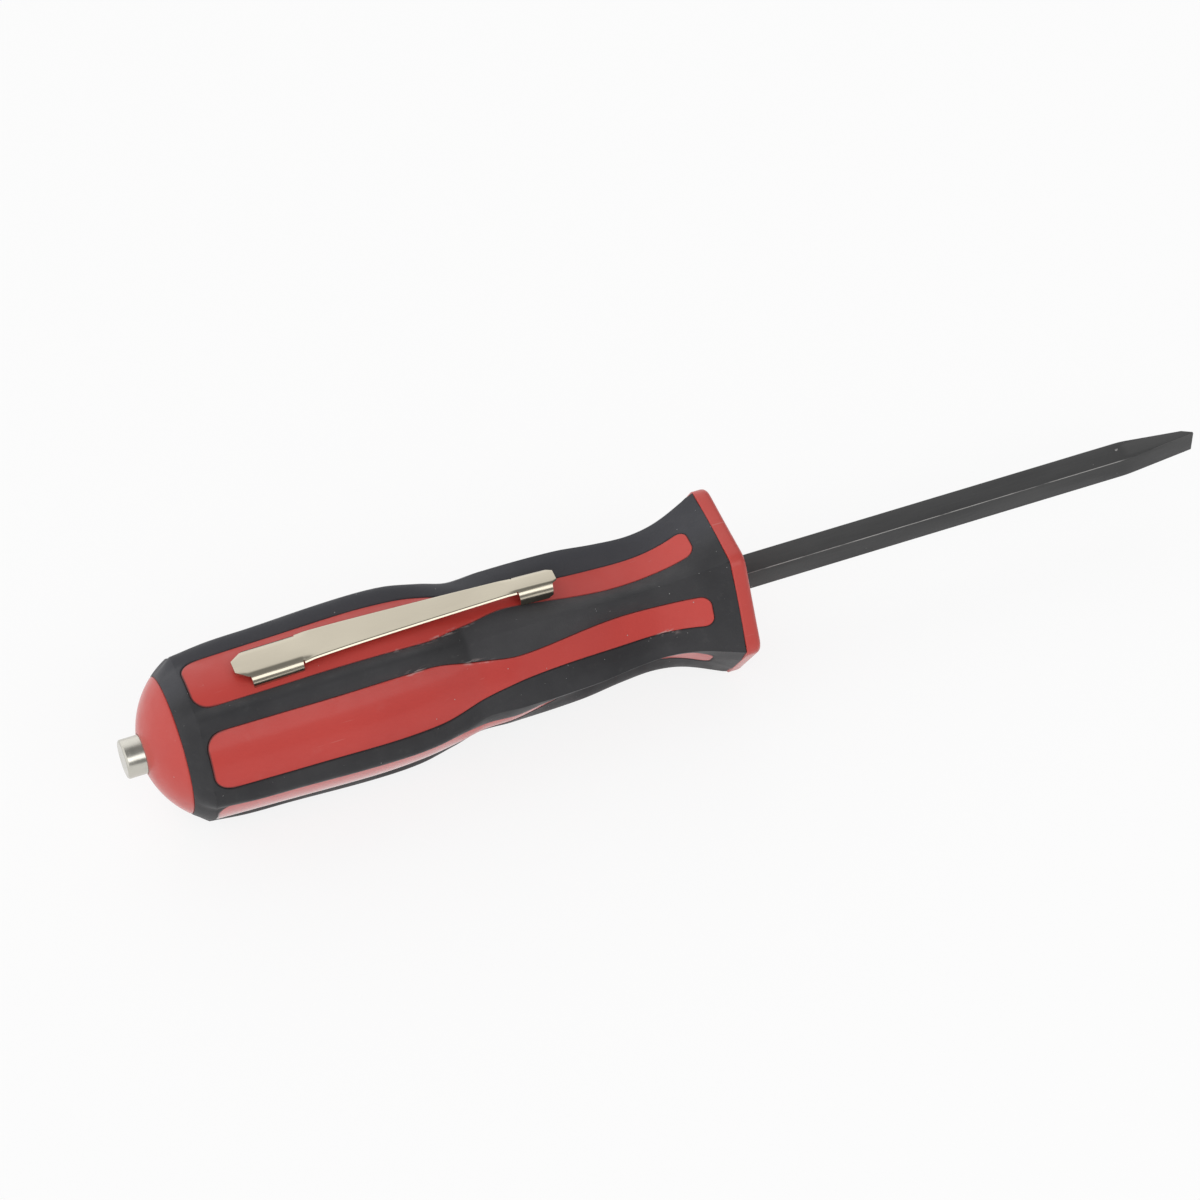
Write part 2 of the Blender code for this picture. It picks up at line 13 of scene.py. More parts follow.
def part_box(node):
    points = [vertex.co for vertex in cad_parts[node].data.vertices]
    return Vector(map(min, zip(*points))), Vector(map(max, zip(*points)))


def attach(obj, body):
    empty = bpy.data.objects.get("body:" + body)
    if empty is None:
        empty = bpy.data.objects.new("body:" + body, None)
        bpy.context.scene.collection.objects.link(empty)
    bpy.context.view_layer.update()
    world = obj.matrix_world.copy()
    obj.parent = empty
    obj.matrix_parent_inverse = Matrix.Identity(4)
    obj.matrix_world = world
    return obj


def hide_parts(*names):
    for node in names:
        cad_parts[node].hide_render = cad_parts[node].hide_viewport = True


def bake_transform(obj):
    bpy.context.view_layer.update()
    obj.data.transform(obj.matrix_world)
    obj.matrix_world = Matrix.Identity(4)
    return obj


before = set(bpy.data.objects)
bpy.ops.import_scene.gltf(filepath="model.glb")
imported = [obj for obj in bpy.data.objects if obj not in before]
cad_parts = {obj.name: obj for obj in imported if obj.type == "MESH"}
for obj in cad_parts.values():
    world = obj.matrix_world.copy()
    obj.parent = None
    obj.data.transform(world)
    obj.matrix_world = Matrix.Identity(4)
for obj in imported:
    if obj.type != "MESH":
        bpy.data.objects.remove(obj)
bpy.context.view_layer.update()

# Places read from the frame; the grip's own X is zero where it meets the flange
BAR_LOW, BAR_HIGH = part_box("pry_bar")
SLEEVE_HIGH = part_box("grip_sleeve")[1]
CORE_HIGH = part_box("handle_core")[1]
MAGNET_LOW, MAGNET_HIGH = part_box("tail_magnet")
AXIS = Vector((SLEEVE_HIGH.x, 0.0, (BAR_LOW.z + BAR_HIGH.z) / 2))
FLANGE_THICKNESS = CORE_HIGH.x - AXIS.x
FLANGE_APOTHEM = AXIS.z

# Flange: what its corners lose, its front edge, how its points crowd to the corners, a hair's room in the box
FLANGE_CORNER_LOSS = 0.0004
FLANGE_EDGE_ROUND = 0.0010
FLANGE_CROWDING = 0.8
FLANGE_HAIR = 0.000002

# Grip and dome
GRIP_LENGTH = 0.0873
RING_RADIUS = 0.0131
RING_LIP = 0.0019
DOME_RISE = 0.00803
SLEEVE_WALL = 0.0015
BELLY_SHARE = 0.690

# Skin of the grip: share of its length from the flange back, radius at a panel's middle, rise of a rib
STATIONS = (
    (0.078, 0.0104, 0.0022),
    (0.136, 0.0091, 0.0026),
    (0.200, 0.0089, 0.0031),
    (0.280, 0.0096, 0.0032),
    (0.417, 0.0117, 0.00135),
    (0.481, 0.0119, 0.0008),
    (0.532, 0.0127, 0.0012),
    (0.600, 0.0135, 0.0017),
    (BELLY_SHARE, FLANGE_APOTHEM, 0.0016),
    (0.850, 0.0135, 0.0014),
    (0.930, 0.0133, 0.0014),
    (1.000, RING_RADIUS, 0.0009),
)

# Panels are flat until one share and round from another; sharper ribs are narrower
FLAT_UNTIL = 0.30
ROUND_FROM = 0.56
RIB_SHARPNESS = 1.4

# Windows in the grip: share and half width, then ends and corners
WINDOW_WIDTHS = (
    (0.00, 0.0028),
    (0.12, 0.0024),
    (0.22, 0.0025),
    (0.40, 0.0021),
    (0.485, 0.0032),
    (0.575, 0.0049),
    (0.80, 0.0050),
    (1.00, 0.0049),
)
WINDOW_REAR = -GRIP_LENGTH + 0.0003
WINDOW_FRONT = -0.0036
WINDOW_REAR_CORNER = 0.0028
WINDOW_FRONT_CORNER = 0.0017

# Fine edges that the moulding shows
LIP_ROUND = 0.00020
PANEL_RECESS = 0.00010
PANEL_EDGE_ROUND = 0.00018
SEAM_GAP = 0.00003
SEAM_ROUND = 0.00012
SEAM_MIDDLE = 0.3
CORE_DROP = SLEEVE_WALL + 0.0001

# Fineness of the meshes
PANELS = 6
SIDE_STEPS = 120
CORNER_STEPS = 8
ACROSS_STEPS = 24
HEIGHT_ROUNDS = 14
LIP_STEPS = 6
PANEL_EDGE_STEPS = 5
RING_STEPS = 9
DOME_STEPS = 25
SEAM_STEPS = 4
FLANGE_EDGE_STEPS = 7
RIB_SPREAD = (0.03, 0.08, 0.16, 0.26, 0.38, 0.50, 0.62, 0.74, 0.85, 0.93, 0.97, 0.99, 1.0)
INNER_SPREAD = (0.5, 1.0)
FLANGE_FACE_SHARES = (0.1, 0.4, 0.75, 0.97)
JOINS_PER_METRE = 1e7

PANEL_ANGLE = tau / PANELS
HALF_PANEL = PANEL_ANGLE / 2
ACROSS = np.linspace(1.0, -1.0, ACROSS_STEPS + 1)
FLANGE_CORNER_RISE = FLANGE_APOTHEM * (1 / cos(HALF_PANEL) - 1) - FLANGE_CORNER_LOSS
DOME_RADIUS = (RING_RADIUS ** 2 + DOME_RISE ** 2) / (2 * DOME_RISE)
DOME_CENTRE = -GRIP_LENGTH - DOME_RISE + DOME_RADIUS
DOME_SEAM_RADIUS = RING_RADIUS - RING_LIP
DOME_SEAM = DOME_CENTRE - sqrt(DOME_RADIUS ** 2 - DOME_SEAM_RADIUS ** 2)
SKIN = ((0.0, FLANGE_APOTHEM, FLANGE_CORNER_RISE),) + STATIONS


def smooth_through(points, at):
    """Values of a smooth curve through (place, value) points at an array of places."""
    places = np.array([p[0] for p in points])
    values = np.array([p[1] for p in points])
    at = np.clip(at, places[0], places[-1])
    before = np.maximum(np.arange(len(places)) - 1, 0)
    after = np.minimum(np.arange(len(places)) + 1, len(places) - 1)
    slopes = (values[after] - values[before]) / (places[after] - places[before])
    i = np.clip(np.searchsorted(places, at) - 1, 0, len(places) - 2)
    span = places[i + 1] - places[i]
    rise = values[i + 1] - values[i]
    t = (at - places[i]) / span
    bend_left = slopes[i] * span - rise
    bend_right = rise - slopes[i + 1] * span
    return values[i] + rise * t + t * (1 - t) * (bend_left * (1 - t) + bend_right * t)


def share_of(x):
    """Share of the grip's length from the flange back to a place."""
    return np.clip(-np.asarray(x, float) / GRIP_LENGTH, 0.0, 1.0)


def panel_radius(x):
    """Distance from the axis to the middle of a panel."""
    return smooth_through([(s[0], s[1]) for s in SKIN], share_of(x))


def rib_rise(x):
    """How far a rib's top lies beyond the middle of a panel."""
    return smooth_through([(s[0], s[2]) for s in SKIN], share_of(x))


def window_half(x):
    """Half width of a window in the grip."""
    return smooth_through(WINDOW_WIDTHS, share_of(x))


def skin_radius(x, angle):
    """Radius of the grip's skin; ribs stand at multiples of the panel angle, counted from -Y."""
    bend = np.abs(np.mod(angle, PANEL_ANGLE) - HALF_PANEL)
    panel = panel_radius(x)
    t = np.clip((ROUND_FROM - share_of(x)) / (ROUND_FROM - FLAT_UNTIL), 0.0, 1.0)
    flat = t * t * (3 - 2 * t)
    floor = panel * (1 + flat * (1 / np.cos(bend) - 1))
    floor_at_rib = panel * (1 + flat * (1 / cos(HALF_PANEL) - 1))
    edge = np.arctan2(window_half(x), panel)
    climb = np.clip((bend - edge) / (HALF_PANEL - edge), 0.0, 1.0)
    top = panel + rib_rise(x) - floor_at_rib
    return floor + top * np.sin(climb * pi / 2) ** RIB_SHARPNESS


def outer_radius(x, angle):
    """The skin on the grip; behind the tail ring's edge its ribs run out into the dome at the seam."""
    dome = np.sqrt(np.maximum(DOME_RADIUS ** 2 - (x - DOME_CENTRE) ** 2, 0.0))
    left = np.clip((x - DOME_SEAM) / (-GRIP_LENGTH - DOME_SEAM), 0.0, 1.0)
    lip = dome + (skin_radius(-GRIP_LENGTH, angle) - RING_RADIUS) * left
    return np.where(x < -GRIP_LENGTH, lip, skin_radius(x, angle))


def bend_of(x, offset):
    """Angle from a panel's middle to the point of the skin at a sideways offset."""
    height = panel_radius(x)
    for _ in range(HEIGHT_ROUNDS):
        radius = outer_radius(x, HALF_PANEL + np.arctan2(offset, height))
        height = np.sqrt(radius ** 2 - offset ** 2)
    return np.arctan2(offset, height)


class Shell:
    """Points and faces of one closed mesh, with a distance to the nearest window's edge at each point."""

    def __init__(self):
        self.points = []
        self.seams = []
        self.faces = []
        self.count = 0

    def add(self, x, angle, inset, seam=1.0):
        """Points on the skin, sunk by inset; returns their numbers."""
        x, angle, inset, seam = np.broadcast_arrays(x, angle, inset, seam)
        radius = outer_radius(x, angle) - inset
        return self.add_round(x, angle, radius, seam)

    def add_round(self, x, angle, radius, seam=1.0):
        """Points at a radius and an angle round the axis, counted from -Y."""
        x, angle, radius, seam = np.broadcast_arrays(x, angle, radius, seam)
        points = np.stack([x, -radius * np.cos(angle), radius * np.sin(angle)], axis=-1)
        return self.add_points(points, seam)

    def add_points(self, points, seam=1.0):
        self.points.append(np.asarray(points, float))
        self.seams.append(np.broadcast_to(seam, (len(points),)))
        first = self.count
        self.count += len(points)
        return np.arange(first, self.count)

    def bridge(self, near, far):
        """Quads between two closed loops of equally many points."""
        self.faces += np.stack([near, np.roll(near, -1), np.roll(far, -1), far], axis=-1).tolist()

    def bridge_all(self, loops):
        """Quads from each closed loop to the next."""
        for near, far in zip(loops, loops[1:]):
            self.bridge(near, far)

    def cap(self, loop):
        """One face over a closed loop."""
        self.faces.append(list(loop))

    def grid(self, rows):
        """Quads between open rows of equally many points."""
        for near, far in zip(rows, rows[1:]):
            self.faces += np.stack([near[:-1], near[1:], far[1:], far[:-1]], axis=-1).tolist()

    def mesh(self, name):
        """Mesh with equal points joined and its faces pointing out."""
        points = np.concatenate(self.points) + np.array(AXIS)
        seams = np.concatenate(self.seams)
        keys = np.round(points * JOINS_PER_METRE).astype(np.int64)
        _, first, joined = np.unique(keys, axis=0, return_index=True, return_inverse=True)
        joined = joined.reshape(-1)
        made = bpy.data.meshes.new(name)
        made.from_pydata(points[first].tolist(), [], [[int(joined[i]) for i in f] for f in self.faces])
        attribute = made.attributes.new("seam", "FLOAT", "POINT")
        attribute.data.foreach_set("value", seams[first].astype(np.float32))
        bm = bmesh.new()
        bm.from_mesh(made)
        bmesh.ops.recalc_face_normals(bm, faces=bm.faces)
        bm.to_mesh(made)
        bm.free()
        made.shade_smooth()
        return made


def put(name, mesh, material):
    """Object with one material, in the scene."""
    made = bpy.data.objects.new(name, mesh)
    bpy.context.scene.collection.objects.link(made)
    mesh.materials.append(material)
    return made


def window_side():
    """X of the points on the straight part of a window's side."""
    return np.linspace(WINDOW_REAR + WINDOW_REAR_CORNER, WINDOW_FRONT - WINDOW_FRONT_CORNER, SIDE_STEPS + 1)


def window_loop(grow):
    """X and sideways offset of points round a window, grown by grow: up one side, across the front, back."""
    rear_corner = WINDOW_REAR_CORNER + grow
    front_corner = WINDOW_FRONT_CORNER + grow
    turn = quarter_turn(CORNER_STEPS + 1)[:-1]
    side = window_side()
    rear_x = WINDOW_REAR - grow + rear_corner * (1 - np.cos(turn))
    front_x = WINDOW_FRONT + grow - front_corner * (1 - np.cos(turn[::-1]))
    x = np.concatenate([rear_x, side, front_x])
    lost = np.concatenate([
        rear_corner * (1 - np.sin(turn)),
        np.zeros(len(side)),
        front_corner * (1 - np.sin(turn[::-1])),
    ])
    half = window_half(x) + grow - lost
    across = ACROSS[1:-1]
    loop_x = np.concatenate([x, np.full(len(across), x[-1]), x[::-1], np.full(len(across), x[0])])
    offset = np.concatenate([half, across * half[-1], -half[::-1], -across * half[0]])
    return loop_x, offset


def rib_loop():
    """X and bend of the rectangle of skin round one window, point for point with window_loop."""
    side = window_side()
    rear = np.linspace(-GRIP_LENGTH, side[0], CORNER_STEPS + 1)[:-1]
    front = np.linspace(side[-1], 0.0, CORNER_STEPS + 1)[1:]
    x = np.concatenate([rear, side, front])
    across = ACROSS[1:-1]
    rib = np.full(len(x), 1.0)
    loop_x = np.concatenate([x, np.zeros(len(across)), x[::-1], np.full(len(across), -GRIP_LENGTH)])
    bend = HALF_PANEL * np.concatenate([rib, across, -rib, -across])
    return loop_x, bend


def ring_angles():
    """Even angles round the axis, with a point on every rib."""
    return np.arange(PANELS * ACROSS_STEPS) * PANEL_ANGLE / ACROSS_STEPS


def quarter_turn(steps):
    """Even angles from 0 to a right angle."""
    return np.linspace(0.0, pi / 2, steps)


def quarter_round(radius, distance):
    """How far a rounded edge lies below its face at a distance from the edge."""
    left = np.clip(radius - distance, 0.0, radius)
    return radius - np.sqrt(radius ** 2 - left ** 2)


def sector_loops(shell, middle, grows, inset_at, spread, far_inset_at):
    """Loops from a window's edge out to the ribs beside it: first by growth, then spread to the rib."""
    loops = []
    for grow in grows:
        x, offset = window_loop(grow)
        loops.append(shell.add(x, middle + bend_of(x, offset), inset_at(grow), abs(grow)))
    x, offset = window_loop(grows[-1])
    bend = bend_of(x, offset)
    rib_x, rib_bend = rib_loop()
    for share in spread:
        at = x + (rib_x - x) * share
        angle = middle + bend + (rib_bend - bend) * share
        distance = grows[-1] + share * np.hypot(rib_x - x, (rib_bend - bend) * RING_RADIUS)
        loops.append(shell.add(at, angle, far_inset_at(at), distance))
    shell.bridge_all(loops)
    return loops


def sleeve_mesh():
    """Rubber grip: rounded lips round six windows, ribs, tail ring and the edge behind the flange."""
    shell = Shell()
    grows = [LIP_ROUND * (1 - cos(t)) for t in quarter_turn(LIP_STEPS)]
    for k in range(PANELS):
        middle = HALF_PANEL + PANEL_ANGLE * k
        outer = sector_loops(
            shell, middle, grows, lambda grow: quarter_round(LIP_ROUND, grow),
            RIB_SPREAD, lambda x: quarter_round(SEAM_ROUND, -x))
        inner = sector_loops(
            shell, middle, grows[:1], lambda grow: SLEEVE_WALL, INNER_SPREAD, lambda x: SLEEVE_WALL)
        shell.bridge(outer[0], inner[0])
    around = ring_angles()
    front_outer = shell.add(0.0, around, SEAM_ROUND)
    front_inner = shell.add(0.0, around, SLEEVE_WALL)
    shell.bridge(front_outer, front_inner)
    end = DOME_SEAM + SEAM_GAP
    ring = np.linspace(-GRIP_LENGTH, end + SEAM_ROUND, RING_STEPS)
    rear = [shell.add(x, around, 0.0) for x in ring]
    rear += [
        shell.add(end + SEAM_ROUND * SEAM_MIDDLE, around, SEAM_ROUND * SEAM_MIDDLE),
        shell.add(end, around, SEAM_ROUND),
        shell.add(end, around, SLEEVE_WALL),
        shell.add(-GRIP_LENGTH, around, SLEEVE_WALL),
    ]
    shell.bridge_all(rear)
    return shell.mesh("rubber_grip")


def panel_rows(shell, middle, grow):
    """The face of one panel as rows across it, tail to flange, ending on window_loop's own points."""
    x, offset = window_loop(grow)
    half_count = (len(x) - 2 * (ACROSS_STEPS - 1)) // 2
    rows = []
    for i in range(half_count):
        row_offset = ACROSS * offset[i]
        bend = bend_of(np.full(len(ACROSS), x[i]), row_offset)
        to_end = min(x[i] - x[0], x[half_count - 1] - x[i])
        seam = np.minimum(offset[i] - np.abs(row_offset), to_end) - grow
        rows.append(shell.add(x[i], middle + bend, PANEL_RECESS, seam))
    shell.grid(rows)


def flange_angles():
    """Angles round the flange, closer together at its corners."""
    turns = np.arange(PANELS * ACROSS_STEPS) / ACROSS_STEPS
    return (turns - FLANGE_CROWDING * np.sin(tau * turns) / tau) * PANEL_ANGLE


def flange_radius(angle):
    """Outline of the flange: six flats with corners rounded until they lose what the model takes off."""
    corner = FLANGE_CORNER_LOSS / (1 / cos(HALF_PANEL) - 1)
    lean = np.abs(np.mod(angle + HALF_PANEL, PANEL_ANGLE) - HALF_PANEL)
    flat = FLANGE_APOTHEM / np.cos(HALF_PANEL - lean)
    centre = (FLANGE_APOTHEM - corner) / cos(HALF_PANEL)
    arc = centre * np.cos(lean) + np.sqrt(np.maximum(corner ** 2 - (centre * np.sin(lean)) ** 2, 0.0))
    arc_until = HALF_PANEL - atan((1 - corner / FLANGE_APOTHEM) * tan(HALF_PANEL))
    return np.where(lean < arc_until, arc, flat)


def square_hole(angles, half):
    """Distance from the axis to the side of a square hole at each angle."""
    return half / np.maximum(np.abs(np.cos(angles)), np.abs(np.sin(angles)))


def core_panels(shell):
    """Panels with rounded edges in the windows, and the body under the grip."""
    depths = [PANEL_EDGE_ROUND * (1 - cos(t)) for t in quarter_turn(PANEL_EDGE_STEPS)]
    grows = [-SEAM_GAP - depth for depth in reversed(depths)]

    def edge_inset(grow):
        return PANEL_RECESS + quarter_round(PANEL_EDGE_ROUND, -grow - SEAM_GAP)

    for k in range(PANELS):
        middle = HALF_PANEL + PANEL_ANGLE * k
        panel_rows(shell, middle, grows[0])
        edge = sector_loops(shell, middle, grows, edge_inset, [], None)
        foot = sector_loops(
            shell, middle, grows[-1:], lambda grow: CORE_DROP, INNER_SPREAD, lambda x: CORE_DROP)
        shell.bridge(edge[-1], foot[0])


def core_dome(shell):
    """Tail of the core: from the body over the dome to the bottom of the magnet's hole."""
    around = ring_angles()
    hole = (MAGNET_HIGH.z - MAGNET_LOW.z) / 2 + SEAM_GAP
    rear = [shell.add(-GRIP_LENGTH, around, CORE_DROP), shell.add(DOME_SEAM, around, CORE_DROP)]
    seam_turn = asin(DOME_SEAM_RADIUS / DOME_RADIUS)
    hole_turn = asin((hole + SEAM_ROUND) / DOME_RADIUS)
    rear.append(shell.add_round(DOME_SEAM, around, DOME_SEAM_RADIUS - SEAM_ROUND))
    for turn in np.linspace(seam_turn, hole_turn, DOME_STEPS)[1:]:
        x = DOME_CENTRE - DOME_RADIUS * cos(turn)
        rear.append(shell.add_round(x, around, DOME_RADIUS * sin(turn)))
    mouth = DOME_CENTRE - DOME_RADIUS * cos(hole_turn)
    rear.append(shell.add_round(mouth + SEAM_ROUND, around, hole))
    rear.append(shell.add_round(MAGNET_HIGH.x - AXIS.x + SEAM_GAP, around, hole))
    shell.bridge_all(rear)
    shell.cap(rear[-1])


def core_flange(shell):
    """Front of the core: from the body over the six-sided flange to the bottom of the bar's hole."""
    around = ring_angles()
    edge_around = flange_angles()
    rim = flange_radius(edge_around) - FLANGE_HAIR
    front = [shell.add(0.0, around, CORE_DROP), shell.add_round(SEAM_GAP, edge_around, rim - CORE_DROP)]
    for turn in quarter_turn(SEAM_STEPS):
        x = SEAM_GAP + SEAM_ROUND * (1 - cos(turn))
        front.append(shell.add_round(x, edge_around, rim - SEAM_ROUND * (1 - sin(turn))))
    for turn in quarter_turn(FLANGE_EDGE_STEPS):
        x = FLANGE_THICKNESS - FLANGE_EDGE_ROUND * (1 - sin(turn))
        front.append(shell.add_round(x, edge_around, rim - FLANGE_EDGE_ROUND * (1 - cos(turn))))
    socket = square_hole(around, (BAR_HIGH.y - BAR_LOW.y) / 2 + SEAM_GAP)
    face = rim - FLANGE_EDGE_ROUND
    for share in FLANGE_FACE_SHARES:
        angle = edge_around + (around - edge_around) * share
        front.append(shell.add_round(FLANGE_THICKNESS, angle, face + (socket - face) * share))
    front.append(shell.add_round(FLANGE_THICKNESS - SEAM_ROUND, around, socket))
    front.append(shell.add_round(BAR_LOW.x - AXIS.x - SEAM_GAP, around, socket))
    shell.bridge_all(front)
    shell.cap(front[-1])


def core_mesh():
    """Hard plastic core, one moulding."""
    shell = Shell()
    core_panels(shell)
    core_dome(shell)
    core_flange(shell)
    return shell.mesh("plastic_core")


# Bar with its chisel tip and the notched tang inside the handle; its near side is -Y and its far side +Y
CHISEL_LENGTH = 0.0122
CHISEL_NEAR = 0.00078
CHISEL_FAR = 0.00045
CHISEL_LAND = 0.0004
CHISEL_SLANT = 0.0017
CHISEL_ROUND = 0.0012
BAR_EDGE = 0.00015
CHISEL_START = BAR_HIGH.x - AXIS.x - CHISEL_LENGTH
TANG_CHAMFER = 0.0006
NOTCH_DEPTH = 0.0009
NOTCH_LENGTH = 0.0040
NOTCH_STARTS = (0.0080, 0.0220)
CORNER_SIGNS = ((1, 1), (-1, 1), (-1, -1), (1, -1))
SHANK_FROM = -0.010
SHANK_STEPS = 48
CHISEL_ROUND_STEPS = 13
BEVEL_STEPS = 9
SLANT_STEPS = 5
BAR_CORNER_STEPS = 5
BAR_END_STEPS = 4


def bar_places(half, tail, tip):
    """Places along the bar and its half widths there, near side and far side, up to the chisel's edge."""
    start = tip - CHISEL_LENGTH
    slant = tip - CHISEL_SLANT
    near_slope = (half - CHISEL_NEAR) / CHISEL_LENGTH
    far_slope = (half - CHISEL_FAR) / (slant - start)
    widths = [(tail, half - TANG_CHAMFER), (tail + TANG_CHAMFER, half)]
    for notch in NOTCH_STARTS:
        rear, front = tail + notch, tail + notch + NOTCH_LENGTH
        widths += [(rear, half), (rear, half - NOTCH_DEPTH), (front, half - NOTCH_DEPTH), (front, half)]
    widths += [(x, half) for x in np.linspace(SHANK_FROM, start - CHISEL_ROUND, SHANK_STEPS)]
    places = [(x, wide, wide) for x, wide in widths]
    for t in np.linspace(-1.0, 1.0, CHISEL_ROUND_STEPS)[1:]:
        fall = CHISEL_ROUND * (t + 1) ** 2 / 4
        places.append((start + CHISEL_ROUND * t, half - near_slope * fall, half - far_slope * fall))
    for x in np.linspace(start + CHISEL_ROUND, slant, BEVEL_STEPS)[1:]:
        places.append((x, half - near_slope * (x - start), half - far_slope * (x - start)))
    for share in np.linspace(0.0, 1.0, SLANT_STEPS)[1:]:
        x = slant + (CHISEL_SLANT - BAR_EDGE) * share
        far = CHISEL_FAR + (CHISEL_LAND - CHISEL_NEAR - CHISEL_FAR) * share
        places.append((x, half - near_slope * (x - start), far))
    return places


def bar_ring(shell, x, near, far, high):
    """Ring of a rectangle with rounded corners; its seam value is 1 on the corners and 0 on the faces."""
    points = []
    worn = []
    turns = quarter_turn(BAR_CORNER_STEPS)
    for i, (side, level) in enumerate(CORNER_SIGNS):
        for turn in (turns[::-1] if i % 2 else turns):
            y = (far if side > 0 else near) - BAR_EDGE * (1 - cos(turn))
            z = high - BAR_EDGE * (1 - sin(turn))
            points.append((x, side * y, level * z))
            worn.append(sin(2 * turn))
    return shell.add_points(points, np.array(worn))


def bar_mesh():
    """Square bar as rings along X: tang, straight shank, two bevels and the slanted end of the chisel."""
    half = (BAR_HIGH.z - BAR_LOW.z) / 2
    tail = BAR_LOW.x - AXIS.x
    tip = BAR_HIGH.x - AXIS.x
    shell = Shell()
    places = bar_places(half, tail, tip)
    rings = [bar_ring(shell, x, near, far, half) for x, near, far in places]
    last_near, last_far = places[-1][1:]
    for turn in quarter_turn(BAR_END_STEPS)[1:]:
        sunk = BAR_EDGE * (1 - cos(turn))
        x = tip - BAR_EDGE * (1 - sin(turn))
        rings.append(bar_ring(shell, x, last_near - sunk, last_far - sunk, half - sunk))
    shell.bridge_all(rings)
    shell.cap(rings[0])
    shell.cap(rings[-1])
    return shell.mesh("square_bar")


# Magnet in the dome
MAGNET_EDGE_ROUND = 0.0004
MAGNET_SIDES = 96
MAGNET_STEPS = 8
MAGNET_FACE_SHARES = (0.35, 0.75, 0.95)


def magnet_mesh():
    """Plated cylinder with softly rounded rims."""
    shell = Shell()
    around = np.arange(MAGNET_SIDES) * tau / MAGNET_SIDES
    radius = (MAGNET_HIGH.z - MAGNET_LOW.z) / 2
    rear = MAGNET_LOW.x - AXIS.x
    front = MAGNET_HIGH.x - AXIS.x
    face = radius - MAGNET_EDGE_ROUND
    rings = [shell.add_round(rear, around, face * share) for share in MAGNET_FACE_SHARES]
    for turn in np.linspace(pi / 2, 0.0, MAGNET_STEPS):
        x = rear + MAGNET_EDGE_ROUND * (1 - sin(turn))
        rings.append(shell.add_round(x, around, radius - MAGNET_EDGE_ROUND * (1 - cos(turn))))
    for x in np.linspace(rear + MAGNET_EDGE_ROUND, front, MAGNET_STEPS)[1:]:
        rings.append(shell.add_round(x, around, radius))
    shell.bridge_all(rings)
    shell.cap(rings[0])
    shell.cap(rings[-1])
    return shell.mesh("magnet")


# Pocket clip: a strip of spring steel, folded down into wings at both ends
CLIP_LENGTH = 0.0529
CLIP_SETBACK = 0.0079
CLIP_THICKNESS = 0.0005
CLIP_STANDOFF = 0.00037
CLIP_TAIL_LIFT = 0.0003
CLIP_SIDE_SHIFT = -0.00055
CLIP_TAIL_HALF = 0.0025
CLIP_TAIL_POINT_HALF = 0.00115
CLIP_TAIL_POINT_LENGTH = 0.0018
CLIP_FRONT_HALF = 0.0017
CLIP_FRONT_POINT_HALF = 0.00105
CLIP_FRONT_POINT_LENGTH = 0.0007
CLIP_FRONT_DIP = 0.00045
CLIP_FOLD_RADIUS = 0.0018
CLIP_FOLD_RELIEF = 0.00012
CLIP_EDGE_ROUND = 0.00012
STRIP_TAIL_HALF = 0.0030
STRIP_CURL_RADIUS = 0.0003
STRIP_CURL_LIP = 0.00022
STRIP_CURL = radians(47)
WING_OUTER_CORNER = 0.0003
WING_INNER_CORNER = 0.0002
WING_DOWN = radians(84)
WING_ROWS = (0.03, 0.12, 0.35, 0.65, 1.0)
TAIL_WING_LENGTH = 0.0087
TAIL_WING_TAB = 0.0006
FRONT_WING_LENGTH = 0.0060
FRONT_WING_DEPTH = 0.0024
FRONT_WING_CHAMFER = 0.0009
FRONT_FOLD_HALF = 0.0014
FRONT_WING_CLEARANCE = 0.0002
FOLD_STEPS = 16
CURL_STEPS = 7
TAIL_POINT_STEPS = 5
TAIL_WING_STEPS = 21
STRIP_STEPS = 45
FRONT_WING_STEPS = 15
CLIP_EDGE_SEGMENTS = 3
CLIP_EDGE_LIMIT = radians(50)
WING_LEAN = radians(28)
WING_LEAN_FROM = 0.66
WING_LEAN_FADE = 0.0020
CLIP_COLUMNS = (-1.0, -0.94, -0.88, -0.82, -0.76, -0.66, 0.0, 0.66, 0.76, 0.82, 0.88, 0.94, 1.0)
CLIP_TAIL = -GRIP_LENGTH + CLIP_SETBACK
CLIP_FRONT = CLIP_TAIL + CLIP_LENGTH
TAIL_WING_START = CLIP_TAIL + CLIP_TAIL_POINT_LENGTH + CLIP_FOLD_RELIEF
TAIL_WING_END = TAIL_WING_START + TAIL_WING_LENGTH
TAIL_WING_MIDDLE = (TAIL_WING_START + TAIL_WING_END) / 2
FRONT_WING_END = CLIP_FRONT - CLIP_FRONT_POINT_LENGTH
FRONT_WING_START = FRONT_WING_END - FRONT_WING_LENGTH
BELLY_PLACE = -GRIP_LENGTH * BELLY_SHARE


def clip_top(x):
    """Height of the clip's upper face over the axis: level at the tail, over the belly, then down."""
    raised = CLIP_STANDOFF + CLIP_THICKNESS
    tail = float(panel_radius(TAIL_WING_MIDDLE)) + raised + CLIP_TAIL_LIFT
    front = float(panel_radius(FRONT_WING_START)) + FRONT_WING_CLEARANCE + FRONT_WING_DEPTH
    places = [
        (CLIP_TAIL, tail),
        (TAIL_WING_MIDDLE, tail),
        (BELLY_PLACE, float(panel_radius(BELLY_PLACE)) + raised),
        (FRONT_WING_START, front),
        (CLIP_FRONT, front - CLIP_FRONT_DIP),
    ]
    return float(smooth_through(places, x))


def strip_half(x):
    """Half width of the strip between the wings, its turned edges included."""
    t = (x - TAIL_WING_END) / (FRONT_WING_START - TAIL_WING_END)
    return STRIP_TAIL_HALF + (CLIP_FRONT_HALF - STRIP_TAIL_HALF) * t


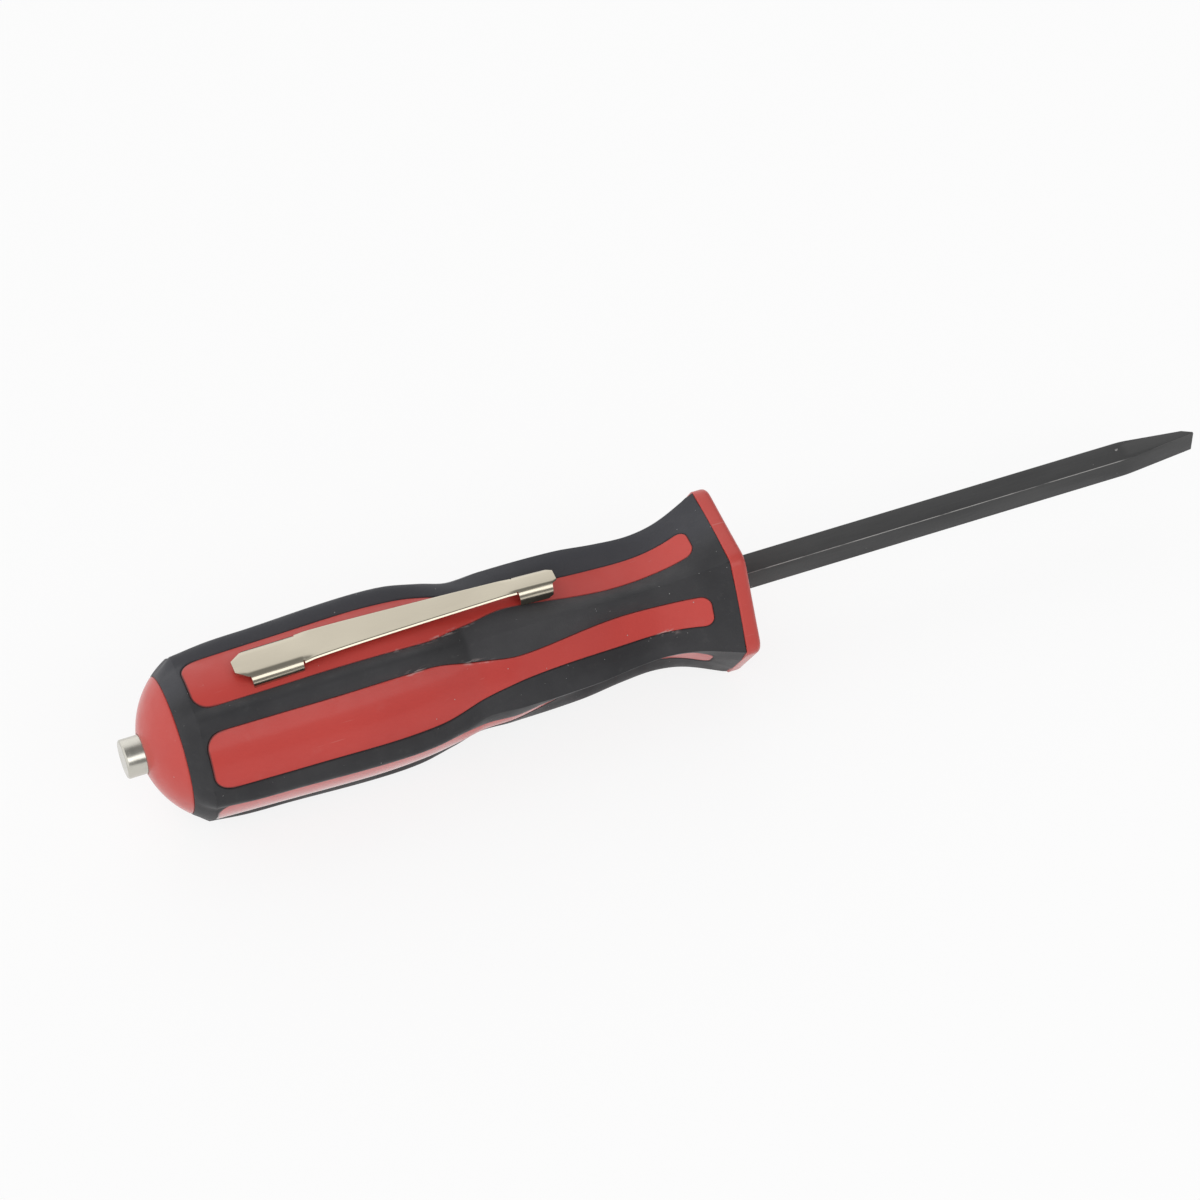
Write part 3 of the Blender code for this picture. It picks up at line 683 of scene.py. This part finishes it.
def side_shift(x):
    """The clip sits a little off the middle at its tail."""
    return CLIP_SIDE_SHIFT * (CLIP_FRONT - x) / CLIP_LENGTH


def wing_share(x):
    """1 along the wings, falling to 0 a little way beyond their ends."""
    beyond = min(max(start - x, x - end) for start, end in (
        (TAIL_WING_START, TAIL_WING_END), (FRONT_WING_START, FRONT_WING_END)))
    t = 1.0 - min(1.0, max(0.0, beyond / WING_LEAN_FADE))
    return t * t * (3 - 2 * t)


def clip_point(x, half, share):
    """Point of the clip's upper face; beside the wings the face leans gently into their folds."""
    out = max(0.0, (abs(share) - WING_LEAN_FROM) / (1 - WING_LEAN_FROM))
    drop = tan(WING_LEAN) * (1 - WING_LEAN_FROM) * half / 2 * out ** 2 * wing_share(x)
    return x, half * share + side_shift(x), clip_top(x) - drop


def tail_wing_foot(_):
    """Lower edge of a tail wing, just inside the panel; it is level, so the place along it isn't used."""
    wide = CLIP_TAIL_HALF + CLIP_FOLD_RADIUS * (sin(WING_DOWN) - sin(WING_LEAN))
    middle = np.array([TAIL_WING_MIDDLE])
    bend = bend_of(middle, wide)
    return float((wide / np.tan(bend))[0]) - TAIL_WING_TAB


def front_wing_foot(x):
    """Lower edge of a front wing, with its foremost corner cut off."""
    cut = max(0.0, x - (FRONT_WING_END - FRONT_WING_CHAMFER))
    return clip_top(x) - FRONT_WING_DEPTH + cut


def clip_wing(bm, row, side, foot_at, rear_corner, front_corner):
    """Fold the strip's edge over and down on one side, leaving a small rounded corner at both ends."""
    previous = row
    length = row[-1].co.x - row[0].co.x
    for turn in np.linspace(WING_LEAN, WING_DOWN, FOLD_STEPS + 1)[1:]:
        reach = CLIP_FOLD_RADIUS * (sin(turn) - sin(WING_LEAN))
        drop = CLIP_FOLD_RADIUS * (cos(WING_LEAN) - cos(turn))
        column = []
        for v in row:
            t = (v.co.x - row[0].co.x) / length
            drawn_in = (rear_corner * (1 - t) - front_corner * t) * sin(turn)
            column.append(bm.verts.new(v.co + Vector((drawn_in, side * reach, -drop))))
        join_columns(bm, previous, column)
        previous = column
    fold_end = previous
    for share in WING_ROWS:
        column = []
        for v in fold_end:
            drop = (v.co.z - foot_at(v.co.x)) * share
            column.append(bm.verts.new(v.co + Vector((0.0, side * drop / tan(WING_DOWN), -drop))))
        join_columns(bm, previous, column)
        previous = column


def clip_curl(bm, row, side):
    """Turn the edge of the strip down a little between the wings."""
    previous = row
    for turn in np.linspace(0.0, STRIP_CURL, CURL_STEPS)[1:]:
        reach = STRIP_CURL_RADIUS * sin(turn)
        drop = STRIP_CURL_RADIUS * (1 - cos(turn))
        column = [bm.verts.new(v.co + Vector((0.0, side * reach, -drop))) for v in row]
        join_columns(bm, previous, column)
        previous = column
    lip = Vector((0.0, side * cos(STRIP_CURL), -sin(STRIP_CURL))) * STRIP_CURL_LIP
    join_columns(bm, previous, [bm.verts.new(v.co + lip) for v in previous])


def join_columns(bm, near, far):
    """Quads between two open columns of equally many points."""
    for i in range(len(near) - 1):
        bm.faces.new((near[i], near[i + 1], far[i + 1], far[i]))


def clip_rows():
    """Place and half width of each row of the clip, in runs: tail point, tail wing, strip, front, tip."""
    end = CLIP_TAIL + CLIP_TAIL_POINT_LENGTH
    tail = []
    for t in np.linspace(0.0, 1.0, TAIL_POINT_STEPS):
        half = CLIP_TAIL_POINT_HALF + (CLIP_TAIL_HALF - CLIP_TAIL_POINT_HALF) * t
        tail.append((CLIP_TAIL + (end - CLIP_TAIL) * t, half))
    wing = [(x, CLIP_TAIL_HALF) for x in np.linspace(TAIL_WING_START, TAIL_WING_END, TAIL_WING_STEPS)]
    strip_start = TAIL_WING_END + CLIP_FOLD_RELIEF
    strip_end = FRONT_WING_START - CLIP_FOLD_RELIEF
    curled = STRIP_CURL_RADIUS * sin(STRIP_CURL) + STRIP_CURL_LIP * cos(STRIP_CURL)
    strip = [(x, strip_half(x) - curled) for x in np.linspace(strip_start, strip_end, STRIP_STEPS)]
    places = list(np.linspace(FRONT_WING_START, FRONT_WING_END - FRONT_WING_CHAMFER, FRONT_WING_STEPS))
    front = [(x, FRONT_FOLD_HALF) for x in places + [FRONT_WING_END]]
    point = [(CLIP_FRONT, CLIP_FRONT_POINT_HALF)]
    return tail, wing, strip, front, point


def clip_sheet():
    """Upper face of the clip as an open sheet."""
    tail, wing, strip, front, point = clip_rows()
    bm = bmesh.new()
    rows = []
    for x, half in tail + wing + strip + front + point:
        rows.append([bm.verts.new(clip_point(x, half, share)) for share in CLIP_COLUMNS])
    for near, far in zip(rows, rows[1:]):
        join_columns(bm, near, far)
    tail_rows = rows[len(tail):len(tail) + len(wing)]
    strip_rows = rows[len(tail) + len(wing):-len(point) - len(front)]
    front_rows = rows[-len(point) - len(front):-len(point)]
    for column, side in ((0, -1), (-1, 1)):
        tail_edge = [row[column] for row in tail_rows]
        front_edge = [row[column] for row in front_rows]
        clip_wing(bm, tail_edge, side, tail_wing_foot, WING_OUTER_CORNER, WING_INNER_CORNER)
        clip_wing(bm, front_edge, side, front_wing_foot, WING_INNER_CORNER, WING_OUTER_CORNER)
        clip_curl(bm, [row[column] for row in strip_rows], side)
    bmesh.ops.recalc_face_normals(bm, faces=bm.faces)
    if sum(face.normal.z for face in bm.faces) < 0:
        bmesh.ops.reverse_faces(bm, faces=bm.faces)
    bmesh.ops.translate(bm, verts=bm.verts, vec=AXIS)
    sheet = bpy.data.meshes.new("clip_sheet")
    bm.to_mesh(sheet)
    bm.free()
    return sheet


def clip_mesh():
    """The sheet given its thickness and rounded edges."""
    sheet = clip_sheet()
    sheet.shade_smooth()
    source = bpy.data.objects.new("clip_source", sheet)
    bpy.context.scene.collection.objects.link(source)
    thick = source.modifiers.new("thickness", "SOLIDIFY")
    thick.thickness = CLIP_THICKNESS
    thick.offset = -1.0
    thick.use_even_offset = True
    edge = source.modifiers.new("edges", "BEVEL")
    edge.width = CLIP_EDGE_ROUND
    edge.segments = CLIP_EDGE_SEGMENTS
    edge.limit_method = "ANGLE"
    edge.angle_limit = CLIP_EDGE_LIMIT
    edge.harden_normals = True
    shape = source.evaluated_get(bpy.context.evaluated_depsgraph_get())
    made = bpy.data.meshes.new_from_object(shape)
    bpy.data.objects.remove(source, do_unlink=True)
    made.name = "spring_clip"
    return made


# Colours, as linear values
RED = (0.535, 0.043, 0.032)
RED_DEEP = (0.500, 0.037, 0.028)
# Pale chalky red: rubbed wear, scratches and the mould line, and also painted sheen on the ends and top
RED_CHALK_AND_SHEEN = (0.560, 0.200, 0.180)
RED_FLOOR_SHEEN = (0.560, 0.270, 0.280)
RED_GROOVE_SHADE = (0.045, 0.007, 0.007)
RUBBER = (0.024, 0.024, 0.0265)
RUBBER_WORN = (0.033, 0.0325, 0.035)
RUBBER_PAINTED_LIT = (0.048, 0.047, 0.050)
RUBBER_SHADED = (0.014, 0.014, 0.015)
RUBBER_SHEEN = (0.045, 0.0455, 0.053)
RUBBER_DUST = (0.08, 0.08, 0.08)
LINT = (0.38, 0.38, 0.37)
FLASH = (0.55, 0.44, 0.42)
OXIDE = (0.037, 0.037, 0.038)
OXIDE_PALE = (0.052, 0.052, 0.052)
OXIDE_LIT_TOP = (0.060, 0.060, 0.060)
BARE_STEEL = (0.40, 0.39, 0.38)
PLATE = (0.550, 0.503, 0.407)
PLATE_DULL = (0.470, 0.427, 0.342)
NICKEL = (0.570, 0.550, 0.495)
NICKEL_DULL = (0.480, 0.460, 0.410)
FLOOR = (0.930, 0.930, 0.930)

# Zones along the tool that the finishes use, from and to, counted from the seam between grip and flange
FLANGE_SEAM = (-0.0002, 0.0002)
DOME_SEAM_FADE = (-0.0890, -0.0875)
UNDERSIDE_ZONE = (-0.0868, -0.0500)
GROOVE_SHADE_FADE = (-0.0850, -0.0820)
CREASE_TEAR = (-0.0530, -0.0430)
FRONT_TEAR = (-0.0135, -0.0105)
CREASE_SHADE = (-0.0540, -0.0470)
SWELL_START = (-0.0442, -0.0430)
SWELL_END = (-0.0300, -0.0180)
FLARE_ZONE = (-0.0110, -0.0075)
CHISEL_FADE = (CHISEL_START - 0.0008, CHISEL_START + 0.0008)
RIM_ZONE = (0.0003, FLANGE_THICKNESS - FLANGE_EDGE_ROUND / 2)

# Reach of the flash from a window's edge, the largest speck as a share of its cell, the usual span of a noise
FLASH_REACH = 0.0007
SPECK_SPREAD = 0.062
NOISE_SPAN = (0.3, 0.7)

# Colour sockets of the mix node, by number because its other kinds of value have the same names
MIX_UNDER, MIX_OVER, MIX_RESULT = 6, 7, 2


class Nodes:
    """A node tree whose nodes are added and linked by short calls."""

    def __init__(self, tree):
        self.tree = tree

    def node(self, kind, **settings):
        made = self.tree.nodes.new(kind)
        for name, value in settings.items():
            setattr(made, name, value)
        return made

    def feed(self, socket, value):
        """Link an output to a socket, or write a plain value there."""
        if isinstance(value, bpy.types.NodeSocket):
            self.tree.links.new(value, socket)
        elif isinstance(value, tuple):
            socket.default_value = (*value, 1.0)
        else:
            socket.default_value = value

    def fill(self, node, **values):
        """Feed a node's inputs by name, with underscores for the spaces."""
        for name, value in values.items():
            self.feed(node.inputs[name.replace("_", " ")], value)

    def math(self, operation, a, b):
        made = self.node("ShaderNodeMath", operation=operation)
        self.feed(made.inputs[0], a)
        self.feed(made.inputs[1], b)
        return made.outputs["Value"]

    def lean(self, direction, way):
        """How far a direction leans a fixed way: 1 when they are the same."""
        made = self.node("ShaderNodeVectorMath", operation="DOT_PRODUCT")
        self.feed(made.inputs[0], direction)
        made.inputs[1].default_value = way
        return made.outputs["Value"]

    def ramp(self, value, low, high, start=0.0, end=1.0):
        """Smooth step of a value between low and high, clamped."""
        made = self.node("ShaderNodeMapRange", interpolation_type="SMOOTHSTEP")
        self.fill(made, Value=value, From_Min=low, From_Max=high, To_Min=start, To_Max=end)
        return made.outputs["Result"]


class Look(Nodes):
    """Nodes of one material, painted in layers over a base colour."""

    def __init__(self, name, base):
        self.material = bpy.data.materials.new(name)
        self.material.use_nodes = True
        super().__init__(self.material.node_tree)
        self.shader = self.tree.nodes["Principled BSDF"]
        self.where = self.node("ShaderNodeTexCoord").outputs["Object"]
        self.base = base
        self.set(Base_Color=base)

    def set(self, **values):
        """Feed the shader's inputs."""
        self.fill(self.shader, **values)

    def stretched(self, along):
        """Coordinates drawn out along X."""
        mapping = self.node("ShaderNodeMapping")
        mapping.inputs["Scale"].default_value = (1.0 / along, 1.0, 1.0)
        self.fill(mapping, Vector=self.where)
        return mapping.outputs["Vector"]

    def noise(self, scale, detail=3.0, along=1.0):
        made = self.node("ShaderNodeTexNoise")
        where = self.where if along == 1.0 else self.stretched(along)
        self.fill(made, Vector=where, Scale=scale, Detail=detail)
        return made.outputs["Fac"]

    def attribute(self, name):
        return self.node("ShaderNodeAttribute", attribute_name=name).outputs["Fac"]

    def coordinate(self, axis):
        split = self.node("ShaderNodeSeparateXYZ")
        self.fill(split, Vector=self.where)
        return split.outputs[axis]

    def place_along(self):
        """Distance along X from the seam between grip and flange."""
        return self.math("SUBTRACT", self.coordinate("X"), AXIS.x)

    def toward(self, angle):
        """How far a point lies towards an angle round the axis, counted from -Y: 1 when straight there."""
        flat = self.node("ShaderNodeMapping")
        flat.inputs["Location"].default_value = (0.0, 0.0, -AXIS.z)
        flat.inputs["Scale"].default_value = (0.0, 1.0, 1.0)
        self.fill(flat, Vector=self.where)
        unit = self.node("ShaderNodeVectorMath", operation="NORMALIZE")
        self.feed(unit.inputs[0], flat.outputs["Vector"])
        return self.lean(unit.outputs["Vector"], (0.0, -cos(angle), sin(angle)))

    def band(self, value, low, high, soft):
        """1 between low and high, fading out over soft on both sides."""
        rise = self.ramp(value, low - soft, low)
        fall = self.ramp(value, high, high + soft, 1.0, 0.0)
        return self.times(rise, fall)

    def rough(self, noise, low, high):
        """Roughness that wanders between two values with a noise."""
        self.set(Roughness=self.ramp(noise, *NOISE_SPAN, low, high))

    def times(self, a, b):
        return self.math("MULTIPLY", a, b)

    def greater(self, a, b):
        return self.math("MAXIMUM", a, b)

    def paint(self, factor, colour):
        """Cover the colour so far with another, as far as the factor goes."""
        made = self.node("ShaderNodeMix", data_type="RGBA")
        self.fill(made, Factor=factor)
        self.feed(made.inputs[MIX_UNDER], self.base)
        self.feed(made.inputs[MIX_OVER], colour)
        self.base = made.outputs[MIX_RESULT]
        self.set(Base_Color=self.base)

    def specks(self, size, share):
        """Small round spots, one in a cell of the given size, kept in that share of the cells."""
        cells = self.node("ShaderNodeTexVoronoi")
        self.fill(cells, Vector=self.where, Scale=1.0 / size)
        split = self.node("ShaderNodeSeparateColor")
        self.fill(split, Color=cells.outputs["Color"])
        kept = self.math("LESS_THAN", split.outputs["Red"], share)
        spread = self.times(split.outputs["Green"], SPECK_SPREAD)
        spot = self.math("LESS_THAN", cells.outputs["Distance"], spread)
        return self.times(kept, spot)

    def bump(self, *layers):
        """Bumps from (height, strength, distance) layers, one over the other."""
        normal = None
        for height, strength, distance in layers:
            made = self.node("ShaderNodeBump")
            self.fill(made, Strength=strength, Distance=distance, Height=height)
            if normal is not None:
                self.fill(made, Normal=normal)
            normal = made.outputs["Normal"]
        self.set(Normal=normal)


def edge_flash(look):
    """Pale torn flash along the windows' edges, where the panels narrow and near their front ends."""
    near = look.ramp(look.attribute("seam"), 0.0, FLASH_REACH, 1.0, 0.0)
    along = look.place_along()
    top_rib = look.ramp(look.toward(PANEL_ANGLE), 0.82, 0.90)
    side_rib = look.ramp(look.toward(0.0), 0.82, 0.90)
    crease = look.times(look.band(along, *CREASE_TEAR, 0.004), top_rib)
    front = look.times(look.band(along, *FRONT_TEAR, 0.002), side_rib)
    stretch = look.greater(crease, front)
    torn = look.ramp(look.noise(2200.0, 4.0, 3.0), 0.48, 0.62)
    patchy = look.ramp(look.noise(130.0, 2.0), 0.44, 0.58)
    broken = look.times(torn, patchy)
    return look.times(look.times(near, stretch), broken)


def dust_and_sheen_ends(look):
    """1 on the dome and the flange, which are rubbed and dusty and also get painted sheen, and less on the
    up-facing panel under the clip, where the paler tone is painted sheen.
    """
    along = look.place_along()
    flange = look.ramp(along, *FLANGE_SEAM)
    dome = look.ramp(along, *DOME_SEAM_FADE, 1.0, 0.0)
    ends = look.greater(flange, dome)
    top = look.ramp(look.toward(pi / 2), 0.90, 0.96, 0.0, 0.3)
    return look.greater(ends, top)


def underside(look):
    """1 on the panels that the tool rests on, rubbed smooth by benches; the pale colour laid with it is a
    painted reflection of the floor.
    """
    below = look.ramp(look.toward(-pi / 2), 0.10, 0.24)
    return look.times(below, look.band(look.place_along(), *UNDERSIDE_ZONE, 0.006))


def mould_line(look):
    """Faint parting line over the flange's rim, at its top and bottom."""
    beside = look.math("ABSOLUTE", look.coordinate("Y"), 0.0)
    line = look.ramp(beside, 0.00005, 0.00016, 0.40, 0.0)
    rim = look.band(look.place_along(), *RIM_ZONE, 0.0002)
    return look.times(line, rim)


def red_plastic():
    """Satin red plastic with rubbed spots, torn flash, painted shade in the grooves at the windows and a
    smooth underside; underside, ends and top get painted sheen.
    """
    look = Look("red_plastic", RED)
    look.set(Specular_IOR_Level=0.42, Coat_Roughness=0.14)
    cloud = look.ramp(look.noise(55.0, 2.0), 0.35, 0.65)
    look.paint(cloud, RED_DEEP)
    # Dome, flange and top painted paler: partly dust, partly painted sheen.
    look.paint(look.times(dust_and_sheen_ends(look), 0.09), RED_CHALK_AND_SHEEN)
    below = underside(look)
    # Painted reflection: the underside is painted a paler pink, as if it mirrored the floor.
    look.paint(look.times(below, 0.14), RED_FLOOR_SHEEN)
    look.set(Coat_Weight=look.ramp(below, 0.0, 1.0, 0.65, 1.0))
    look.set(Coat_IOR=look.ramp(below, 0.0, 1.0, 1.28, 1.65))
    rubbed = look.ramp(look.noise(240.0, 5.0), 0.60, 0.80, 0.0, 0.10)
    look.paint(rubbed, RED_CHALK_AND_SHEEN)
    scratch = look.ramp(look.noise(2400.0, 2.0, 16.0), 0.71, 0.77, 0.0, 0.22)
    look.paint(scratch, RED_CHALK_AND_SHEEN)
    look.paint(look.times(edge_flash(look), 0.8), FLASH)
    look.paint(look.specks(0.0016, 0.20), LINT)
    look.paint(mould_line(look), RED_CHALK_AND_SHEEN)
    # Painted shade in the gaps round the windows, darker and wider at the tail end, where the rubber lip
    # stands over the panel.
    seam = look.attribute("seam")
    tail = look.ramp(look.place_along(), *GROOVE_SHADE_FADE, 0.95, 0.0)
    deep_groove_shade = look.times(look.ramp(seam, 0.00012, 0.00046, 1.0, 0.0), tail)
    groove_shade = look.greater(look.ramp(seam, 0.00004, 0.00030, 0.5, 0.0), deep_groove_shade)
    look.paint(groove_shade, RED_GROOVE_SHADE)
    look.rough(look.noise(300.0, 4.0), 0.44, 0.56)
    look.bump((look.noise(2600.0, 2.0), 0.10, 0.0002), (look.noise(160.0, 2.0), 0.05, 0.001))
    return look.material


def black_rubber():
    """Dusty rubber: the thumb swell and the flare painted lighter as lit, painted shade in the crease,
    painted sheen on the far rib.
    """
    look = Look("black_rubber", RUBBER)
    look.set(Specular_IOR_Level=0.36, Sheen_Weight=0.08, Sheen_Roughness=0.5)
    cloud = look.ramp(look.noise(45.0, 3.0), 0.35, 0.68)
    look.paint(cloud, RUBBER_WORN)
    along = look.place_along()
    before_swell = look.ramp(along, *SWELL_START, 1.0, 0.0)
    # Painted light: the thumb swell on the upper rib and the flare are painted lighter, as where light falls
    # on them.
    swell = look.times(look.ramp(along, *SWELL_START), look.ramp(along, *SWELL_END, 1.0, 0.0))
    top_rib = look.ramp(look.toward(PANEL_ANGLE), 0.75, 0.95, 0.10, 0.55)
    look.paint(look.times(swell, top_rib), RUBBER_PAINTED_LIT)
    flare = look.band(along, *FLARE_ZONE, 0.004)
    look.paint(look.times(flare, 0.4), RUBBER_PAINTED_LIT)
    # Painted shade in the crease before the swell.
    crease = look.times(look.ramp(along, *CREASE_SHADE), before_swell)
    look.paint(look.times(crease, top_rib), RUBBER_SHADED)
    # Painted sheen: the far rib is painted paler and a little bluer.
    far_rib_sheen = look.ramp(look.toward(2 * PANEL_ANGLE), 0.70, 0.93, 0.0, 0.9)
    look.paint(far_rib_sheen, RUBBER_SHEEN)
    dusty = look.ramp(look.noise(700.0, 5.0), 0.58, 0.80, 0.0, 0.20)
    look.paint(dusty, RUBBER_DUST)
    look.paint(look.times(edge_flash(look), 0.5), FLASH)
    look.paint(look.specks(0.0011, 0.95), LINT)
    look.rough(look.noise(260.0, 4.0), 0.56, 0.72)
    look.bump((look.noise(3200.0, 2.0), 0.16, 0.0002), (look.noise(220.0, 3.0), 0.06, 0.001))
    return look.material


def black_oxide():
    """Black oxide with bright corners, a few nicks and the top of the ground chisel painted paler as lit."""
    look = Look("black_oxide_steel", OXIDE)
    look.set(Metallic=0.25, Specular_IOR_Level=0.5)
    cloud = look.ramp(look.noise(120.0, 4.0, 4.0), 0.35, 0.70)
    look.paint(cloud, OXIDE_PALE)
    drawn = look.ramp(look.noise(2500.0, 3.0, 40.0), 0.55, 0.75, 0.0, 0.35)
    look.paint(drawn, OXIDE_PALE)
    ridge = look.ramp(look.attribute("seam"), 0.40, 0.85)
    patchy = look.ramp(look.noise(800.0, 5.0, 6.0), 0.36, 0.54)
    ground = look.ramp(look.place_along(), *CHISEL_FADE)
    fading = look.ramp(ground, 0.0, 1.0, 0.85, 0.1)
    worn = look.times(look.times(ridge, patchy), fading)
    # Painted light: the up-facing top of the ground chisel is painted paler.
    upper = look.ramp(look.toward(pi / 2), 0.78, 0.92, 0.2, 1.0)
    look.paint(look.times(ground, upper), OXIDE_LIT_TOP)
    look.paint(worn, BARE_STEEL)
    hit = look.math("ADD", look.noise(420.0, 6.0), look.times(ground, 0.03))
    nicks = look.ramp(hit, 0.715, 0.745, 0.0, 0.8)
    look.paint(nicks, BARE_STEEL)
    look.rough(look.noise(350.0, 4.0, 5.0), 0.42, 0.58)
    look.bump((look.noise(1800.0, 3.0), 0.12, 0.0002), (look.noise(2500.0, 2.0, 40.0), 0.06, 0.0002))
    return look.material


def nickel_plate():
    """Satin plate of the clip, with cloudy spots and fine scratches along it."""
    look = Look("nickel_plate", PLATE)
    look.set(Metallic=1.0)
    cloud = look.ramp(look.noise(90.0, 3.0, 2.0), 0.35, 0.70, 0.0, 0.45)
    look.paint(cloud, PLATE_DULL)
    scratch = look.ramp(look.noise(3600.0, 2.0, 18.0), 0.66, 0.74, 0.0, 0.18)
    look.paint(scratch, PLATE_DULL)
    look.rough(look.noise(420.0, 4.0, 4.0), 0.15, 0.21)
    look.bump((look.noise(4200.0, 2.0, 14.0), 0.03, 0.0002), (look.noise(150.0, 2.0), 0.03, 0.001))
    return look.material


def bright_nickel():
    """Bright plate of the magnet, a little cloudy."""
    look = Look("bright_nickel", NICKEL)
    look.set(Metallic=1.0)
    cloud = look.ramp(look.noise(350.0, 4.0), 0.45, 0.75, 0.0, 0.6)
    look.paint(cloud, NICKEL_DULL)
    look.rough(look.noise(600.0, 4.0), 0.20, 0.28)
    look.bump((look.noise(900.0, 4.0), 0.05, 0.0003), (look.noise(260.0, 2.0), 0.05, 0.001))
    return look.material


# Floor: how far it is lifted towards white where it is seen, and its disc
FLOOR_LIFT = 0.84
FLOOR_SIDES = 96
FLOOR_RADIUS = 3.0


def floor_paint():
    """Matt pale floor; where it is seen or mirrored it is lifted towards white, and a pale shadow stays."""
    look = Look("floor_paint", FLOOR)
    look.set(Specular_IOR_Level=0.2)
    look.rough(look.noise(8.0, 3.0), 0.6, 0.75)
    path = look.node("ShaderNodeLightPath").outputs
    mirrored = look.greater(path["Is Glossy Ray"], path["Is Transmission Ray"])
    seen = look.greater(path["Is Camera Ray"], mirrored)
    white = look.node("ShaderNodeEmission")
    lifted = look.node("ShaderNodeMixShader")
    look.feed(lifted.inputs[0], look.times(seen, FLOOR_LIFT))
    look.feed(lifted.inputs[1], look.shader.outputs["BSDF"])
    look.feed(lifted.inputs[2], white.outputs["Emission"])
    look.feed(look.tree.nodes["Material Output"].inputs["Surface"], lifted.outputs["Shader"])
    return look.material


# Camera as fitted to the photograph: focal length, width and shifts are in its pixels
AZIMUTH = radians(-21.56)
ELEVATION = radians(49.55)
DISTANCE = 0.700
FOCAL_PIXELS = 4378.0
WIDTH_PIXELS = 1200.0
SHIFT_X = 107.0
SHIFT_Y = 16.35
AIM_OFFSET = Vector((-0.0004, 0.0, 0.0))
SENSOR_WIDTH = 36.0
NEAREST_SEEN = 0.01


def camera():
    """Camera at the photograph's angle and distance."""
    level = cos(ELEVATION)
    back = Vector((sin(AZIMUTH) * level, -cos(AZIMUTH) * level, sin(ELEVATION)))
    right = Vector((cos(AZIMUTH), sin(AZIMUTH), 0.0))
    up = back.cross(right)
    aside = (SHIFT_X * right + SHIFT_Y * up) * DISTANCE / FOCAL_PIXELS
    place = AXIS + AIM_OFFSET + DISTANCE * back - aside
    data = bpy.data.cameras.new("camera")
    data.sensor_width = SENSOR_WIDTH
    data.lens = FOCAL_PIXELS / WIDTH_PIXELS * SENSOR_WIDTH
    data.clip_start = NEAREST_SEEN
    made = bpy.data.objects.new("camera", data)
    made.matrix_world = Matrix.Translation(place) @ Matrix((right, up, back)).transposed().to_4x4()
    bpy.context.scene.collection.objects.link(made)
    bpy.context.scene.camera = made


def stage():
    """Pale round floor under the tool."""
    mesh = bpy.data.meshes.new("floor")
    bm = bmesh.new()
    bmesh.ops.create_circle(bm, cap_ends=True, segments=FLOOR_SIDES, radius=FLOOR_RADIUS)
    bm.to_mesh(mesh)
    bm.free()
    put("floor", mesh, floor_paint())


# Light of the room: an even level, and what each row adds: a direction, the lean towards it where the change
# starts and where it is full, and the change
ROOM_LEVEL = 1.02
ROOM_CHANGES = (
    ((-0.95, -0.15, 0.27), 0.30, 0.95, 0.20),
    ((1.0, 0.0, 0.0), 0.30, 0.75, -0.55),
    ((0.0, 0.93, 0.37), 0.75, 0.97, 0.25),
    ((0.22, -0.10, 0.970), 0.79, 0.96, -0.72),
    ((0.22, -0.94, 0.26), 0.950, 0.985, -0.75),
)
SOFTBOX_WATTS = 1.7
SOFTBOX_PLACE = (0.24, -0.80, 0.74)
SOFTBOX_WIDTH = 0.9
SOFTBOX_HEIGHT = 0.5


def room_light():
    """White tent: brighter at the tail and behind, dimmer at the tip, in its top opening and low in front."""
    world = bpy.data.worlds.new("tent")
    bpy.context.scene.world = world
    world.use_nodes = True
    room = Nodes(world.node_tree)
    direction = room.node("ShaderNodeTexCoord").outputs["Generated"]
    total = ROOM_LEVEL
    for way, low, high, change in ROOM_CHANGES:
        added = room.ramp(room.lean(direction, way), low, high, 0.0, change)
        total = room.math("ADD", added, total)
    path = room.node("ShaderNodeLightPath").outputs
    seen = room.node("ShaderNodeMix")
    room.fill(seen, Factor=path["Is Camera Ray"], A=total, B=1.0)
    room.fill(room.tree.nodes["Background"], Strength=seen.outputs["Result"], Color=(1.0, 1.0, 1.0))


def softbox():
    """Large soft lamp in front of the tool, over its dim horizon."""
    data = bpy.data.lights.new("softbox", "AREA")
    data.shape = "RECTANGLE"
    data.size = SOFTBOX_WIDTH
    data.size_y = SOFTBOX_HEIGHT
    data.energy = SOFTBOX_WATTS
    made = bpy.data.objects.new("softbox", data)
    made.location = SOFTBOX_PLACE
    made.rotation_euler = (-Vector(SOFTBOX_PLACE)).to_track_quat("-Z", "Y").to_euler()
    bpy.context.scene.collection.objects.link(made)


def main():
    """Handle pieces on their body and the clip in place, then floor, light and camera."""
    bpy.context.scene.view_settings.view_transform = "Standard"
    sleeve = put("rubber_grip", sleeve_mesh(), black_rubber())
    core = put("plastic_core", core_mesh(), red_plastic())
    bar = put("square_bar", bar_mesh(), black_oxide())
    magnet = put("magnet", magnet_mesh(), bright_nickel())
    clip = put("spring_clip", clip_mesh(), nickel_plate())
    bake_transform(clip)
    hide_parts("pocket_clip")
    for piece, node, slot in (
        (sleeve, "grip_sleeve", "black_rubber"),
        (core, "handle_core", "red_plastic"),
        (bar, "pry_bar", "black_oxide_steel"),
        (magnet, "tail_magnet", "bright_nickel"),
    ):
        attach(piece, "handle")
        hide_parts(node)
    stage()
    room_light()
    softbox()
    camera()


main()
